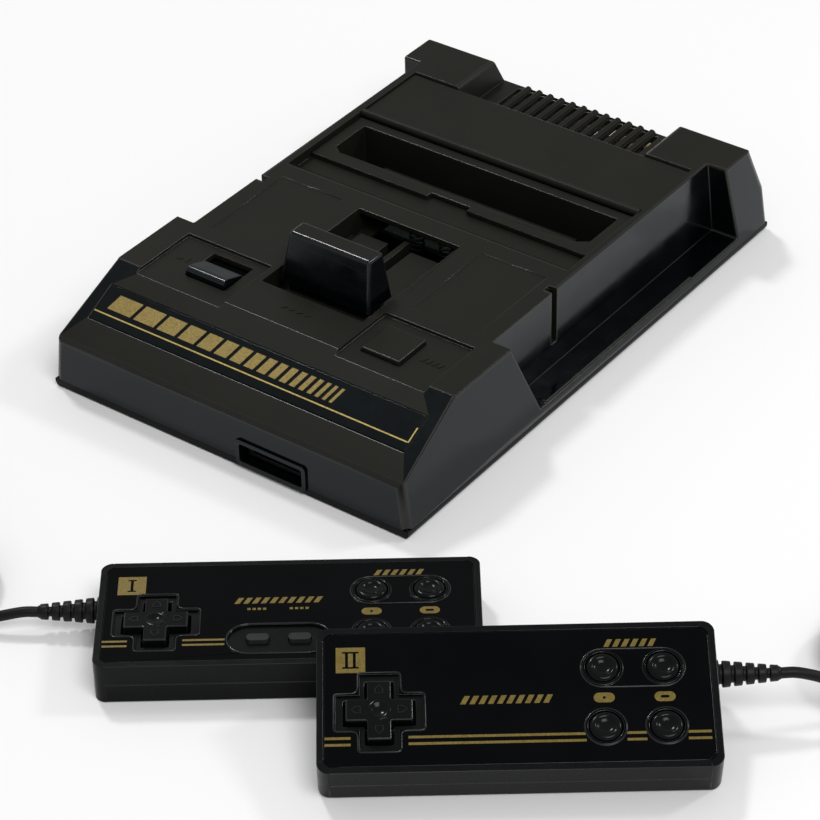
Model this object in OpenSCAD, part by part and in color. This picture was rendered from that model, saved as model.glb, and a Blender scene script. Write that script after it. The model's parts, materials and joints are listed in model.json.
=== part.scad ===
// Cartridge game console with two wired game pads, as an assembly of separate pieces.
// Frame: the origin is the centre of the console's footprint on the table,
// +X is to the right, +Y to the back and +Z up. Lengths are in millimetres.

/* [Console shell] */
// Width of the console at the seam
console_w = 150; // [148:1:160]
// Depth of the console at the seam
console_d = 223.4; // [222:0.2:234]
// Height of the seam between the two shells
seam_z = 3; // [3:0.2:3.6]
// Height of the front lip
lip_z = 20.5; // [19:0.5:22]
// Height of the deck
deck_z = 36.4; // [36:0.2:40]
// Depth of the sloping front panel
slope_run = 32; // [30:1:34]
// How far each side leans in from the seam to the deck
side_lean = 4; // [2:0.5:5]
// How far the back leans in at the top
back_lean = 8.2; // [6:0.2:10]
// Wall thickness of the console shells
wall = 2.2; // [1.8:0.1:2.4]

/* [Pad cradles] */
// Width of each side cradle
cradle_w = 11.5; // [10:0.5:12.5]
// Height of the cradle floor
cradle_floor_z = 5.9; // [5.4:0.1:8]
// Distance of the cradle's front edge behind the crease of the deck
cradle_front_gap = 31.7; // [28:0.5:36]
// Distance of the cradle's back edge before the back of the console
cradle_back_gap = 25.3; // [24:0.5:30]
// Width of the cord slit in the inner wall
slit_w = 3; // [2:0.5:4]

/* [Cartridge slot] */
// Length of the flap over the slot, along X
flap_w = 120.6; // [116:0.5:121]
// Depth of the flap from its hinge to its free edge
flap_len = 32.6; // [31:0.2:34]
// Thickness of the flap
flap_t = 2.4; // [2:0.1:2.8]
// Radius of the flap's hinge barrel
barrel_r = 1.6; // [1.5:0.1:1.8]
// Radius of the hinge pin
pin_r = 0.8; // [0.6:0.05:0.9]
// Distance of the hinge before the back of the console
hinge_gap = 64.8; // [62:0.2:68]
// Width of the slot opening
slot_w = 110; // [108:0.5:112]
// Depth of the slot opening
slot_d = 19.4; // [18:0.2:20]

/* [Lever and switches] */
// Half width of the lever opening
lever_open_x = 21.5; // [21:0.5:24]
// Length of the lever opening
lever_open_len = 55; // [53:0.5:58]
// Height of the lever above the deck
lever_rise = 16.2; // [12:0.2:18]
// Half width of the lever at its foot
lever_foot_x = 18.9; // [16:0.1:20]
// Travel of the lever
lever_travel = 14; // [10:0.5:14]
// Side length of the reset button
reset_side = 15.4; // [13:0.2:16]
// Depth of the two switch trays
tray_depth = 1.2; // [0.8:0.1:1.6]
// Travel of the power knob
power_travel = 5; // [3:0.5:5]

/* [Game pads] */
// Length of a game pad
pad_l = 118; // [116:0.5:122]
// Width of a game pad
pad_w = 49.2; // [48:0.2:52]
// Thickness of a game pad
pad_h = 14; // [13.8:0.2:15]
// Wall thickness of a pad shell
pad_wall = 1.8; // [1.5:0.1:2]
// Radius of the round buttons
button_r = 4.95; // [4.6:0.05:5.2]
// Span of the direction cross
cross_span = 19.8; // [18:0.2:21]
// Width of an arm of the direction cross
cross_arm = 7.1; // [6.4:0.1:7.6]
// Clearance round a moving button
button_gap = 0.25; // [0.2:0.05:0.4]
// Turn of both pads on the table
pad_turn = 36.8; // [30:0.1:45]
// Lean of the second pad on the first
pad_lean = 18; // [16:0.5:18.5]

/* [Cords] */
// Diameter of each cord
cord_d = 3.4; // [3.2:0.1:3.8]
// Middle diameter of each coil of cord
coil_mid_d = 38; // [36:1:40]
// Turns across and turns high in a coil
coil_rows = 3; // [2:1:3]

/* [Hidden] */
$fn = 48;

eps = 0.01;
slide_gap = 0.3;

// colours
deck_black = [0.16, 0.16, 0.14];
gloss_black = [0.10, 0.11, 0.12];
board_green = [0.12, 0.34, 0.20];
steel = [0.62, 0.63, 0.65];
brass = [0.70, 0.58, 0.30];
rubber_grey = [0.30, 0.31, 0.32];
cord_black = [0.07, 0.07, 0.08];

// console outline
half_w = console_w / 2;
front_y = -console_d / 2;
rear_y = console_d / 2;
crease_y = front_y + slope_run;
slope_angle = atan((deck_z - lip_z) / slope_run);
slope_len = norm([slope_run, deck_z - lip_z]);
rear_break_z = lip_z - 2.5;
floor_t = 2;

// cradle
cradle_x = half_w - cradle_w;
cradle_slant = 13.2;
cradle_back_slant = 5.1;
cradle_front_y = crease_y + cradle_front_gap;
cradle_back_y = rear_y - cradle_back_gap;
cradle_step = 0.6;
slit_y = cradle_front_y + 38.4;
slit_z = 15;

// flap, slot and back valley
hinge_y = rear_y - hinge_gap;
flap_top_z = deck_z - 0.8;
hinge_z = flap_top_z - 0.4;
flap_end_y = hinge_y + flap_len;
pocket_x = flap_w / 2 + 0.3;
pocket_y = flap_end_y + 0.4;
pocket_floor_z = flap_top_z - flap_t - slide_gap;
frame_top_z = 2 * hinge_z - flap_top_z - slide_gap;
frame_t = 1.9;
frame_front_y = hinge_y - flap_len + 0.7;
frame_back_y = hinge_y - barrel_r - 0.4;
frame_x = pocket_x - 0.5;
slot_front_y = frame_front_y + 6;
slot_back_y = slot_front_y + slot_d;
well_wall = 1.6;
well_bottom_z = 18;
notch_x = 8.5;
notch_d = 2.5;
dip_start_y = frame_front_y - 13.5;
dip_low_y = frame_front_y - 7.8;
dip_z = frame_top_z - frame_t;
valley_z = deck_z - 9.4;
valley_x = 38.9;
valley_top_x = 41.2;
valley_end_y = rear_y - 0.9 - (valley_z - rear_break_z) / (deck_z - rear_break_z) * (back_lean - 0.9);
rib_pitch = 5;
rib_count = 12;
rib_r = 1.4;
vent_w = 2;
vent_front_y = pocket_y + 3;
vent_back_y = valley_end_y - 2.4;
rib_back_y = valley_end_y - 0.5;

// deck trays and panels
strip_x = 24.2;
tray_out_x = 60.6;
tray_back_y = crease_y + 25.8;
panel_x0 = 29.8;
panel_x1 = 56.7;
panel_y0 = crease_y + 33.4;
panel_y1 = crease_y + 73.7;
panel_depth = 0.35;

// name plate, measured up the slope
plate_x = 66.4;
plate_s0 = 0.325 * slope_len;
plate_s1 = 0.725 * slope_len;
plate_t = 0.8;
plate_gap = 0.15;

// expansion port in the front lip
port_x0 = 5;
port_x1 = 34.2;
port_z0 = 1.4;
port_z1 = 11.6;
port_rim = 1.6;
port_proud = 0.8;

// lever, slider and fork
lever_front_y = crease_y + 17.2;
lever_back_y = lever_front_y + lever_open_len;
slider_top_z = deck_z - 5.5;
slider_t = 2;
slider_x = 16.7;
flange_x = lever_open_x - 0.6;
flange_t = 2;
slider_front_y = lever_front_y + 5.5;
slider_back_y = lever_back_y - 5.5;
guide_t = 2;
ledge_x = slider_x + 0.3;
flange_bottom_z = slider_top_z - slider_t - flange_t;
ledge_top_z = flange_bottom_z - slide_gap;
guide_back_y = lever_back_y + 11.5;
stem_half = 1.2;
stem_reach = 4.5;
stem_slot_half = 4.8;
lever_foot_z = deck_z - 2;
lever_foot_y0 = lever_front_y + 6.3;
lever_foot_y1 = lever_foot_y0 + 13.7;
lever_top_x = lever_foot_x - 2;
lever_top_y0 = lever_foot_y0 + 4;
lever_top_y1 = lever_top_y0 + 7.6;
board_z = 8;
board_t = 1.6;
board_top_z = board_z + board_t;
ramp = 0.5;
bar_y0 = slot_front_y - 17;
bar_d = 4;
bar_top_z = board_top_z + 7.4;
ramp_z = board_top_z + 3.4;
arm_x0 = 12;
arm_x1 = 16.5;
fork_x0 = 44.5;
fork_x1 = 49.5;
fork_t = 3;
fork_top_z = board_top_z + 6.4;
wire_r = 0.35;
spring_r = 2.6;
spring_turns = 6;
spring_x = 6.5;
spring_stop_z = deck_z - 7;

// screws, columns and board
column_r = 4;
boss_r = 3.6;
screw_r = 1.5;
screw_head_r = 2.9;
case_columns = [[half_w - 13, front_y + 13.7], [half_w - 23, crease_y + 39.7],
  [half_w - 11, rear_y - 10.7]];
board_x = half_w - 18;
board_front_y = crease_y + 7.7;
board_back_y = rear_y - 12.7;
board_holes = [[board_x - 5, board_front_y + 8], [board_x - 5, board_back_y - 33]];

// cartridge connector and rear sockets
connector_x = 42;
connector_y0 = slot_front_y + 5;
connector_y1 = slot_back_y - 5;
connector_z = 24;
jack_z = board_top_z + 6.4;
back_share = board_x / 57;
socket_x = back_share * [-46, -20];
channel_x = back_share * -3;
jack_x = back_share * [12, 26];
dc_x = back_share * 38;
rf_x = back_share * 49;
channel_travel = 5;
socket_half = 9;
jack_bore_r = 6;
small_bore_r = 4.9;
jack_panel_x0 = jack_x[0] - 7.6;
jack_panel_x1 = rf_x + 7.5;
jack_panel_z = jack_z + 8;
modulator_w = 13;
modulator_d = 26;
chip_x = (arm_x1 + board_x - 1.5) / 2;
chip_room = board_x - arm_x1;
chip_y = board_front_y + 26.3;
chip_step = 22;

// power switch and reset switch
knob_x0 = -46.6;
knob_x1 = -29.5;
window_y0 = crease_y + 6.5;
knob_len = 10;
window_y1 = window_y0 + knob_len + power_travel + 0.9;
tray_floor_z = deck_z - tray_depth;
tray_under_z = tray_floor_z - wall;
reset_x = 29.7 + reset_side / 2;
reset_y = crease_y + 4.9 + reset_side / 2;
reset_travel = 2;
switch_board_z = 18;

// game pads, in a frame of their own: x along the pad, y across it, z out of its face
pad_corner_r = 3.8;
split_z = 6.6;
face_t = 0.8;
face_recess = 0.9;
face_border = 2;
plate_top_z = pad_h - face_recess;
plate_under_z = plate_top_z - 1.6;
pad_board_z = 3.6;
pad_board_t = 1.4;
mat_z = pad_board_z + pad_board_t;
mat_t = 0.8;
dome_h = 1.4;
dome_r = 3.5;
button_top_z = pad_h + 1;
button_flange = 1.25;
button_foot_z = plate_under_z - 2.5;
ring_w = 0.85;
dpad_pos = [-40.6, -4.3];
a_pos = [43, -10.8];
b_pos = [25.2, -10.8];
turbo_a_pos = [43, 9.1];
turbo_b_pos = [25.2, 9.1];
select_pos = [-9.4, -12.6];
start_pos = [3.4, -12.6];
pill_pos = [-3, -12.8];
pill_l = 31;
pill_w = 13;
key_l = 6.8;
key_w = 3.2;
cross_gap = 0.7;
well_span = 25.5;
well_arm = 11.4;
ball_r = 1.8;
ball_gap = 0.06;
ball_z = pad_board_z + 4.3;
pad_column = [pad_l / 2 - 6.5, pad_w / 2 - 6.1];
relief_y = 10.3;
relief_z = 7;
relief_len = 19.5;
relief_ribs = 5;
neck_r = 2.6;

// where the pads lie: the first flat on the table, the second leaning on its near edge
pad1_at = [76, -174.3];
pad2_shift = 68;
turn_x = [cos(pad_turn), sin(pad_turn)];
turn_y = [-sin(pad_turn), cos(pad_turn)];
lean_reach = (pad_h + slide_gap) / tan(pad_lean);
pad2_edge = pad1_at - turn_y * (pad_w / 2 + lean_reach) + turn_x * pad2_shift;

// plugs
hood_w = 30;
hood_h = 15;
hood_l = 28;
plug_neck_l = 9;

// cords: each route runs from its relief to its coil, and a short tail runs on to the plug
cord_r = cord_d / 2;
coil_w = coil_rows * cord_d;
coil_out_r = coil_mid_d / 2 + coil_w / 2;
tail_z = coil_w - cord_r;
coil1_at = [-38, -218];
coil2_at = [234, -75];
relief1_end = pad1_point([-pad_l / 2 - relief_len, relief_y, relief_z]);
relief2_end = pad2_point([pad_l / 2 + relief_len, relief_y, relief_z]);
lead = 5;
route1 = [relief1_end, relief1_end - lead * [turn_x[0], turn_x[1], 0],
  [-4, -221.5, 5.2], [-10, -226, 3], [-15.5, -230, 1.9], [-20, -233.2, cord_r]];
tail1 = [[-59.8, -226, tail_z], [-62.6, -222, tail_z], [-65.5, -217.8, hood_h / 2]];
plug1_at = [-65.5, -217.8, hood_h / 2];
plug1_turn = 125;
route2 = [relief2_end, relief2_end + lead * [turn_x[0], turn_x[1], 0],
  [226, -109, 15], [231, -105.2, 10.6], [236, -101.4, 5.8], [241, -97.6, 2.6]];
tail2 = [[250.4, -58.6, tail_z], [248, -54.4, tail_z], [245.4, -49.9, hood_h / 2]];
plug2_at = [245.4, -49.9, hood_h / 2];
plug2_turn = 120;

function pad1_point(p) = concat(pad1_at + turn_x * p[0] + turn_y * p[1], [p[2]]);
function pad2_point(p) = let(across = p[1] + pad_w / 2,
    flat = across * cos(pad_lean) - p[2] * sin(pad_lean))
  concat(pad2_edge + turn_x * p[0] + turn_y * flat,
    [across * sin(pad_lean) + p[2] * cos(pad_lean)]);

// ---- helpers ----
module box(x0, x1, y0, y1, z0, z1) {
  translate([x0, y0, z0]) cube([x1 - x0, y1 - y0, z1 - z0]);
}

module both_sides() {
  children();
  mirror([1, 0, 0]) children();
}

// an outline in (y, z), carried along X
module along_x(x0, x1) {
  translate([x0, 0, 0]) rotate([90, 0, 90]) linear_extrude(x1 - x0) children();
}

// an outline in (x, z), carried along Y
module along_y(y0, y1) {
  translate([0, y1, 0]) rotate([90, 0, 0]) linear_extrude(y1 - y0) children();
}

module tube(r_out, r_in, h) {
  difference() {
    cylinder(r = r_out, h = h);
    translate([0, 0, -eps]) cylinder(r = r_in, h = h + 2 * eps);
  }
}

module round_rect(l, w, r) {
  square([l - 2 * r, w], center = true);
  square([l, w - 2 * r], center = true);
  for (sx = [-1, 1], sy = [-1, 1]) translate([sx * (l / 2 - r), sy * (w / 2 - r)]) circle(r = r);
}

module slab(l, w, r, z0, z1) {
  translate([0, 0, z0]) linear_extrude(z1 - z0) round_rect(l, w, r);
}

module cross(span, arm, z0, z1) {
  translate([0, 0, z0]) linear_extrude(z1 - z0) {
    square([span, arm], center = true);
    square([arm, span], center = true);
  }
}

// ---- console shells ----
// side outline of the console, drawn in by g and cut off below z0
function side_outline(g, z0) = let(
    k = g / cos(slope_angle),
    t = tan(slope_angle))
  [[front_y + g, z0], [front_y + g, lip_z + g * t - k],
   [crease_y + (k - g) / t, deck_z - g], [rear_y - back_lean - 0.7 * g, deck_z - g],
   [rear_y - 0.9 - g, rear_break_z], [rear_y - g, z0]];

module console_form(g, z0) {
  intersection() {
    along_x(-half_w, half_w) polygon(side_outline(g, z0));
    along_y(front_y, rear_y) polygon([[-half_w + g, z0], [half_w - g, z0],
      [half_w - side_lean - g, deck_z], [-half_w + side_lean + g, deck_z]]);
  }
}

// a cradle's hollow on the right side, made larger by g where it meets the shell
module cradle_hollow(g) {
  along_x(cradle_x - g, half_w + 5) polygon([
    [cradle_front_y - g, deck_z + 1], [cradle_front_y + cradle_slant - g, cradle_floor_z - g],
    [cradle_back_y + cradle_back_slant + g, cradle_floor_z - g], [cradle_back_y + g, deck_z + 1]]);
}

module valley_hollow(g) {
  along_y(pocket_y - g, rear_y + 5) polygon([[-valley_x - g, valley_z - g],
    [valley_x + g, valley_z - g], [valley_top_x + g, deck_z + 1], [-valley_top_x - g, deck_z + 1]]);
}

// the dip in the deck in front of the slot frame
module dip_hollow(g) {
  along_x(-frame_x - 0.2 - g, frame_x + 0.2 + g) polygon([[dip_start_y - g, deck_z - g],
    [dip_low_y - g, dip_z - g], [frame_front_y + 1, dip_z - g], [frame_front_y + 1, deck_z + 1],
    [dip_start_y - g, deck_z + 1]]);
}

module pocket_hollow(g) {
  box(-frame_x - 0.2 - g, frame_x + 0.2 + g, frame_front_y - g, hinge_y + 1, dip_z - g, deck_z + 1);
  box(-pocket_x - g, pocket_x + g, frame_back_y - g, pocket_y + g, pocket_floor_z - g, deck_z + 1);
}

module well_hollow() {
  gap = well_wall + 0.3;
  box(-slot_w / 2 - gap, slot_w / 2 + gap, slot_front_y - gap, slot_back_y + gap, 10, deck_z);
}

module tray_hollows() {
  box(-tray_out_x, -strip_x, crease_y - 5, tray_back_y, tray_floor_z, deck_z + 1);
  box(strip_x, tray_out_x, crease_y - 5, tray_back_y, tray_floor_z, deck_z + 1);
}

module on_slope() {
  translate([0, front_y, lip_z]) rotate([slope_angle, 0, 0]) children();
}

module lever_guides() {
  both_sides() {
    box(lever_open_x, lever_open_x + guide_t, lever_front_y - guide_t, guide_back_y,
      ledge_top_z - guide_t, deck_z - wall + eps);
    box(ledge_x, lever_open_x + guide_t, lever_front_y - guide_t, guide_back_y,
      ledge_top_z - guide_t, ledge_top_z);
  }
  box(-lever_open_x - guide_t, lever_open_x + guide_t, lever_front_y - guide_t, lever_front_y,
    ledge_top_z - guide_t, deck_z - wall + eps);
}

module upper_bosses() {
  for (p = case_columns) both_sides() translate([p[0], p[1], board_top_z]) cylinder(r = boss_r, h = deck_z);
  for (p = [case_columns[0], case_columns[2]]) both_sides()
    translate([p[0], p[1], board_z]) cylinder(r = boss_r, h = board_t + eps);
  // stops over the ejector springs
  both_sides() translate([spring_x, bar_y0 + bar_d / 2, spring_stop_z])
    cylinder(r = 3.4, h = deck_z - spring_stop_z - 2);
}

// windows in the back wall for the pad sockets, the channel switch and the jack panel
module rear_windows() {
  for (x = socket_x) box(x - socket_half - 0.3, x + socket_half + 0.3, rear_y - 8, rear_y + 1,
    jack_z - 5.7, jack_z + 5.7);
  box(channel_x - 5.2, channel_x + 5.2, rear_y - 8, rear_y + 1, jack_z - 2, jack_z + 2);
  box(jack_panel_x0, jack_panel_x1, rear_y - 8, rear_y + 1, seam_z - 1, jack_panel_z);
}

module cord_slits() {
  both_sides() box(cradle_x - wall - 1, cradle_x + 1, slit_y - slit_w, slit_y, slit_z, deck_z + 1);
}

module port_cut(gap) {
  translate([(port_x0 + port_x1) / 2, front_y + 6, (port_z0 + port_z1) / 2]) rotate([90, 0, 0])
    linear_extrude(8) round_rect(port_x1 - port_x0 + 2 * gap, port_z1 - port_z0 + 2 * gap, 1.8);
}

module upper_shell() {
  color(deck_black) difference() {
    union() {
      difference() {
        console_form(0, seam_z);
        console_form(wall, seam_z - 1);
      }
      intersection() {
        console_form(0, seam_z);
        union() {
          both_sides() cradle_hollow(wall);
          valley_hollow(wall);
          dip_hollow(wall);
          pocket_hollow(wall);
          box(-tray_out_x - wall, tray_out_x + wall, crease_y - 2, tray_back_y + wall,
            tray_under_z, deck_z);
          lever_guides();
          upper_bosses();
        }
      }
    }
    both_sides() cradle_hollow(0);
    valley_hollow(0);
    dip_hollow(0);
    pocket_hollow(0);
    tray_hollows();
    well_hollow();
    rear_windows();
    cord_slits();
    port_cut(0.15);
    // lever opening and the way behind it under the deck
    box(-lever_open_x, lever_open_x, lever_front_y, lever_back_y, ledge_top_z, deck_z + 1);
    box(-lever_open_x, lever_open_x, lever_front_y, slider_back_y + lever_travel + 1,
      ledge_top_z, slider_top_z + 0.4);
    box(-ledge_x, ledge_x, lever_front_y, guide_back_y + eps, ledge_top_z - guide_t - 1, ledge_top_z + 1);
    box(-stem_half - 0.4, stem_half + 0.4, lever_front_y, slider_back_y + stem_reach + lever_travel + 1,
      ledge_top_z, slider_top_z + 0.4);
    // power and reset windows
    box(knob_x0, knob_x1, window_y0, window_y1, tray_under_z - 1, deck_z);
    box(reset_x - reset_side / 2 - 0.25, reset_x + reset_side / 2 + 0.25,
      reset_y - reset_side / 2 - 0.25, reset_y + reset_side / 2 + 0.25, tray_under_z - 1, deck_z);
    // sunk panels beside the lever
    both_sides() box(panel_x0, panel_x1, panel_y0, panel_y1, deck_z - panel_depth, deck_z + 1);
    on_slope() box(-plate_x - plate_gap, plate_x + plate_gap, plate_s0 - plate_gap,
      plate_s1 + plate_gap, -plate_t - 0.1, 5);
    for (i = [-rib_count / 2 : rib_count / 2])
      box(i * rib_pitch - vent_w / 2, i * rib_pitch + vent_w / 2, vent_front_y, vent_back_y,
        valley_z - wall - 1, valley_z + 3);
    // bore for the flap's hinge pin
    translate([-flap_w / 2 - 2.6, hinge_y, hinge_z]) rotate([0, 90, 0])
      cylinder(r = pin_r + 0.05, h = flap_w + 5.2);
    for (p = case_columns) both_sides() translate([p[0], p[1], board_z - 1])
      cylinder(r = screw_r + 0.05, h = 13.5);
  }
  // rounded ribs between the vents
  color(deck_black) for (i = [0 : rib_count - 1])
    translate([(i - (rib_count - 1) / 2) * rib_pitch, vent_front_y, valley_z - 0.2]) rotate([-90, 0, 0])
      cylinder(r = rib_r, h = rib_back_y - vent_front_y);
  // step along the cradle floor
  color(deck_black) both_sides() box(cradle_x + 7, half_w - 1.2, cradle_front_y + cradle_slant + 4,
    cradle_back_y - 26, cradle_floor_z - eps, cradle_floor_z + cradle_step);
}

// the part of the back wall that the four round jacks sit in
module jack_panel() {
  color(deck_black) difference() {
    intersection() {
      console_form(0, seam_z);
      box(jack_panel_x0, jack_panel_x1, rear_y - 8, rear_y + 1, seam_z - 1, jack_panel_z);
    }
    console_form(wall, seam_z - 1);
    for (x = jack_x) translate([x, rear_y + 1, jack_z]) rotate([90, 0, 0])
      cylinder(r = jack_bore_r, h = 10);
    for (x = [dc_x, rf_x]) translate([x, rear_y + 1, jack_z]) rotate([90, 0, 0])
      cylinder(r = small_bore_r, h = 10);
  }
}

module lower_shell() {
  color(gloss_black) difference() {
    union() {
      difference() {
        along_y(front_y, rear_y) polygon([[-half_w + 0.8, 0], [half_w - 0.8, 0],
          [half_w, 1], [half_w, seam_z], [-half_w, seam_z], [-half_w, 1]]);
        box(-half_w + wall, half_w - wall, front_y + wall, rear_y - wall, floor_t, seam_z + 1);
      }
      for (p = case_columns) both_sides() translate([p[0], p[1], 1])
        cylinder(r = column_r, h = board_z - 1);
      for (p = board_holes) both_sides() translate([p[0], p[1], 1]) cylinder(r = 3.2, h = board_z - 1);
      // posts under the switch board
      for (x = [-27, 27]) translate([x, crease_y + 6, 1]) cylinder(r = 3, h = switch_board_z - 1);
      // ribs that stiffen the floor
      for (x = [-30, 30]) box(x - 0.8, x + 0.8, crease_y + 40, board_back_y - 8,
        floor_t - eps, board_z - 1);
    }
    for (p = case_columns) both_sides() translate([p[0], p[1], -1]) {
      cylinder(r = screw_head_r + 0.3, h = 4);
      cylinder(r = screw_r + 0.3, h = board_z + 2);
    }
    for (p = board_holes) both_sides() translate([p[0], p[1], seam_z]) cylinder(r = 1.25, h = board_z);
    port_cut(0.15);
    // air slots in the base
    for (i = [0 : 7]) both_sides()
      box(8 + i * 6, 10 + i * 6, crease_y + 60, crease_y + 84, -1, floor_t + 1);
  }
}

module slot_frame() {
  color(deck_black) difference() {
    union() {
      box(-frame_x, frame_x, frame_front_y, frame_back_y, dip_z, frame_top_z);
      box(-slot_w / 2 - well_wall, slot_w / 2 + well_wall, slot_front_y - well_wall,
        slot_back_y + well_wall, well_bottom_z, dip_z + eps);
    }
    // slot opening with clipped front corners
    translate([0, 0, well_bottom_z - 1]) linear_extrude(deck_z) polygon([
      [-slot_w / 2, slot_back_y], [-slot_w / 2, slot_front_y + 2.4], [-slot_w / 2 + 3.5, slot_front_y],
      [slot_w / 2 - 3.5, slot_front_y], [slot_w / 2, slot_front_y + 2.4], [slot_w / 2, slot_back_y]]);
    // finger notch in the front edge
    box(-notch_x, notch_x, frame_front_y - 1, frame_front_y + notch_d, dip_z - 1, frame_top_z + 1);
    // ways for the ejector's fingers
    both_sides() box(fork_x0 - 1, fork_x1 + 1, slot_front_y - well_wall - 1, slot_front_y + 3.4,
      well_bottom_z - 1, fork_top_z + lever_travel * ramp + 1);
  }
}

module name_plate() {
  color(gloss_black) on_slope() box(-plate_x, plate_x, plate_s0, plate_s1, -plate_t - 0.1, -0.1);
}

module port_bezel() {
  color(gloss_black) difference() {
    translate([(port_x0 + port_x1) / 2, front_y + wall + 0.6, (port_z0 + port_z1) / 2])
      rotate([90, 0, 0]) linear_extrude(wall + 0.6 + port_proud)
        round_rect(port_x1 - port_x0, port_z1 - port_z0, 1.8);
    translate([(port_x0 + port_x1) / 2, front_y + 10, (port_z0 + port_z1) / 2])
      rotate([90, 0, 0]) linear_extrude(20)
        round_rect(port_x1 - port_x0 - 2 * port_rim, port_z1 - port_z0 - 2 * port_rim, 0.9);
  }
}

// ---- inside the console ----
module main_board() {
  color(board_green) difference() {
    union() {
      box(-board_x, board_x, board_front_y, board_back_y, board_z, board_top_z);
      box(port_x0, port_x1, front_y + 9, board_front_y + 1, board_z, board_top_z);
    }
    for (p = board_holes) both_sides() translate([p[0], p[1], 0]) cylinder(r = 1.5, h = 20);
    both_sides() translate([case_columns[1][0], case_columns[1][1], 0]) cylinder(r = screw_r + 0.4, h = 20);
    for (x = [-27, 27]) translate([x, crease_y + 6, 0]) cylinder(r = 3.5, h = 20);
  }
}

module cartridge_connector() {
  color([0.18, 0.18, 0.20]) difference() {
    box(-connector_x, connector_x, connector_y0, connector_y1, board_top_z, connector_z);
    box(-connector_x + 3, connector_x - 3, (connector_y0 + connector_y1) / 2 - 0.9,
      (connector_y0 + connector_y1) / 2 + 0.9, board_top_z + 3, connector_z + 1);
  }
}

module chip(x, y, l, w) {
  box(x - l / 2, x + l / 2, y - w / 2, y + w / 2, board_top_z, board_top_z + 3.2);
}

module board_chips() {
  color([0.10, 0.10, 0.11]) for (x = [-chip_x, chip_x]) {
    chip(x, chip_y, chip_room - 16.5, 12);
    chip(x, chip_y + chip_step, chip_room - 8.5, 13);
  }
}

module rf_modulator() {
  x0 = rf_x - 5.5;
  color(steel) {
    box(x0, x0 + modulator_w, board_back_y - modulator_d, board_back_y + 3, board_top_z, jack_z + 7);
    translate([rf_x, board_back_y + 3, jack_z]) rotate([-90, 0, 0])
      tube(4.1, 1.6, rear_y - board_back_y - 3.4);
  }
}

module heatsink() {
  x0 = -board_x + 3;
  y0 = board_back_y - 26;
  color([0.72, 0.73, 0.75]) {
    box(x0, x0 + 18, y0, y0 + 14, board_top_z, board_top_z + 2);
    for (i = [0 : 5]) translate([x0 + i * 3.3, 0, board_top_z])
      box(0, 1.2, y0, y0 + 14, 2 - eps, 10);
  }
}

module expansion_connector() {
  xm = (port_x0 + port_x1) / 2;
  zm = (port_z0 + port_z1) / 2;
  color([0.15, 0.15, 0.17]) difference() {
    union() {
      box(xm - 12.4, xm + 12.4, front_y + wall + 1, front_y + 9, port_z0 + port_rim + 0.4, zm + 3);
      box(xm - 12.4, xm + 12.4, front_y + 9 - eps, front_y + 16, board_top_z, zm + 6);
      box(xm - 12.4, xm + 12.4, front_y + 5, front_y + 9, zm, zm + 6);
    }
    box(xm - 10.5, xm + 10.5, front_y + wall, front_y + 6, zm - 1.6, zm + 1.6);
  }
}

module pad_sockets() {
  color(steel) for (x = socket_x) {
    box(x - socket_half, x + socket_half, board_back_y - 8, rear_y - 7, board_top_z, jack_z + 5.2);
    difference() {
      box(x - 8.6, x + 8.6, rear_y - 7 - eps, rear_y - 0.5, jack_z - 4.3, jack_z + 4.3);
      box(x - 8, x + 8, rear_y - 6, rear_y + 1, jack_z - 3.7, jack_z + 3.7);
    }
    for (i = [0 : 4]) translate([x + (i - 2) * 2.75, rear_y - 7, jack_z + 1.4]) rotate([-90, 0, 0])
      cylinder(r = 0.5, h = 3.2);
    for (i = [0 : 3]) translate([x + (i - 1.5) * 2.75, rear_y - 7, jack_z - 1.4]) rotate([-90, 0, 0])
      cylinder(r = 0.5, h = 3.2);
  }
}

module rear_jacks() {
  color(brass) for (x = jack_x) {
    box(x - 5.2, x + 5.2, board_back_y - 3, rear_y - 8.2, board_top_z, jack_z + 5.4);
    translate([x, rear_y - 8.2, jack_z]) rotate([-90, 0, 0]) tube(4.15, 1.65, 8);
  }
  color([0.12, 0.12, 0.13]) {
    box(dc_x - 4.6, dc_x + 3.8, board_back_y - 3, rear_y - 7, board_top_z, jack_z + 4.6);
    translate([dc_x, rear_y - 7 - eps, jack_z]) rotate([-90, 0, 0]) tube(4.6, 2.75, 6.4);
  }
  color([0.12, 0.12, 0.13]) box(channel_x - 6, channel_x + 6, board_back_y - 3, rear_y - 6.4,
    board_top_z, jack_z + 3);
}

module panel_switches() {
  color(board_green) difference() {
    box(-board_x, board_x, crease_y + 2.7, crease_y + 20.7, switch_board_z, switch_board_z + board_t);
    for (x = [-27, 27]) translate([x, crease_y + 6, 0]) cylinder(r = 0.9, h = 40);
  }
  color([0.14, 0.14, 0.15]) {
    box(knob_x0 + 2.5, knob_x1 - 2.5, window_y0 + 1, crease_y + 20.7,
      switch_board_z + board_t, switch_board_z + 12);
    box(reset_x - 6, reset_x + 6, reset_y - 6, crease_y + 20.7,
      switch_board_z + board_t, switch_board_z + 8.4);
    translate([reset_x, reset_y, switch_board_z + 8.4]) cylinder(r = 1.7, h = 1.6);
  }
}

module case_screws() {
  color(steel) for (p = case_columns) both_sides() translate([p[0], p[1], 0.8]) {
    cylinder(r = screw_head_r, h = 2.2);
    cylinder(r = screw_r, h = 18.4);
  }
}

module board_screws() {
  color(steel) for (p = board_holes) both_sides() translate([p[0], p[1], 0]) {
    translate([0, 0, board_top_z]) cylinder(r = 2.6, h = 1.6);
    translate([0, 0, seam_z + 0.4]) cylinder(r = 1.2, h = board_top_z - seam_z);
  }
}

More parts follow.
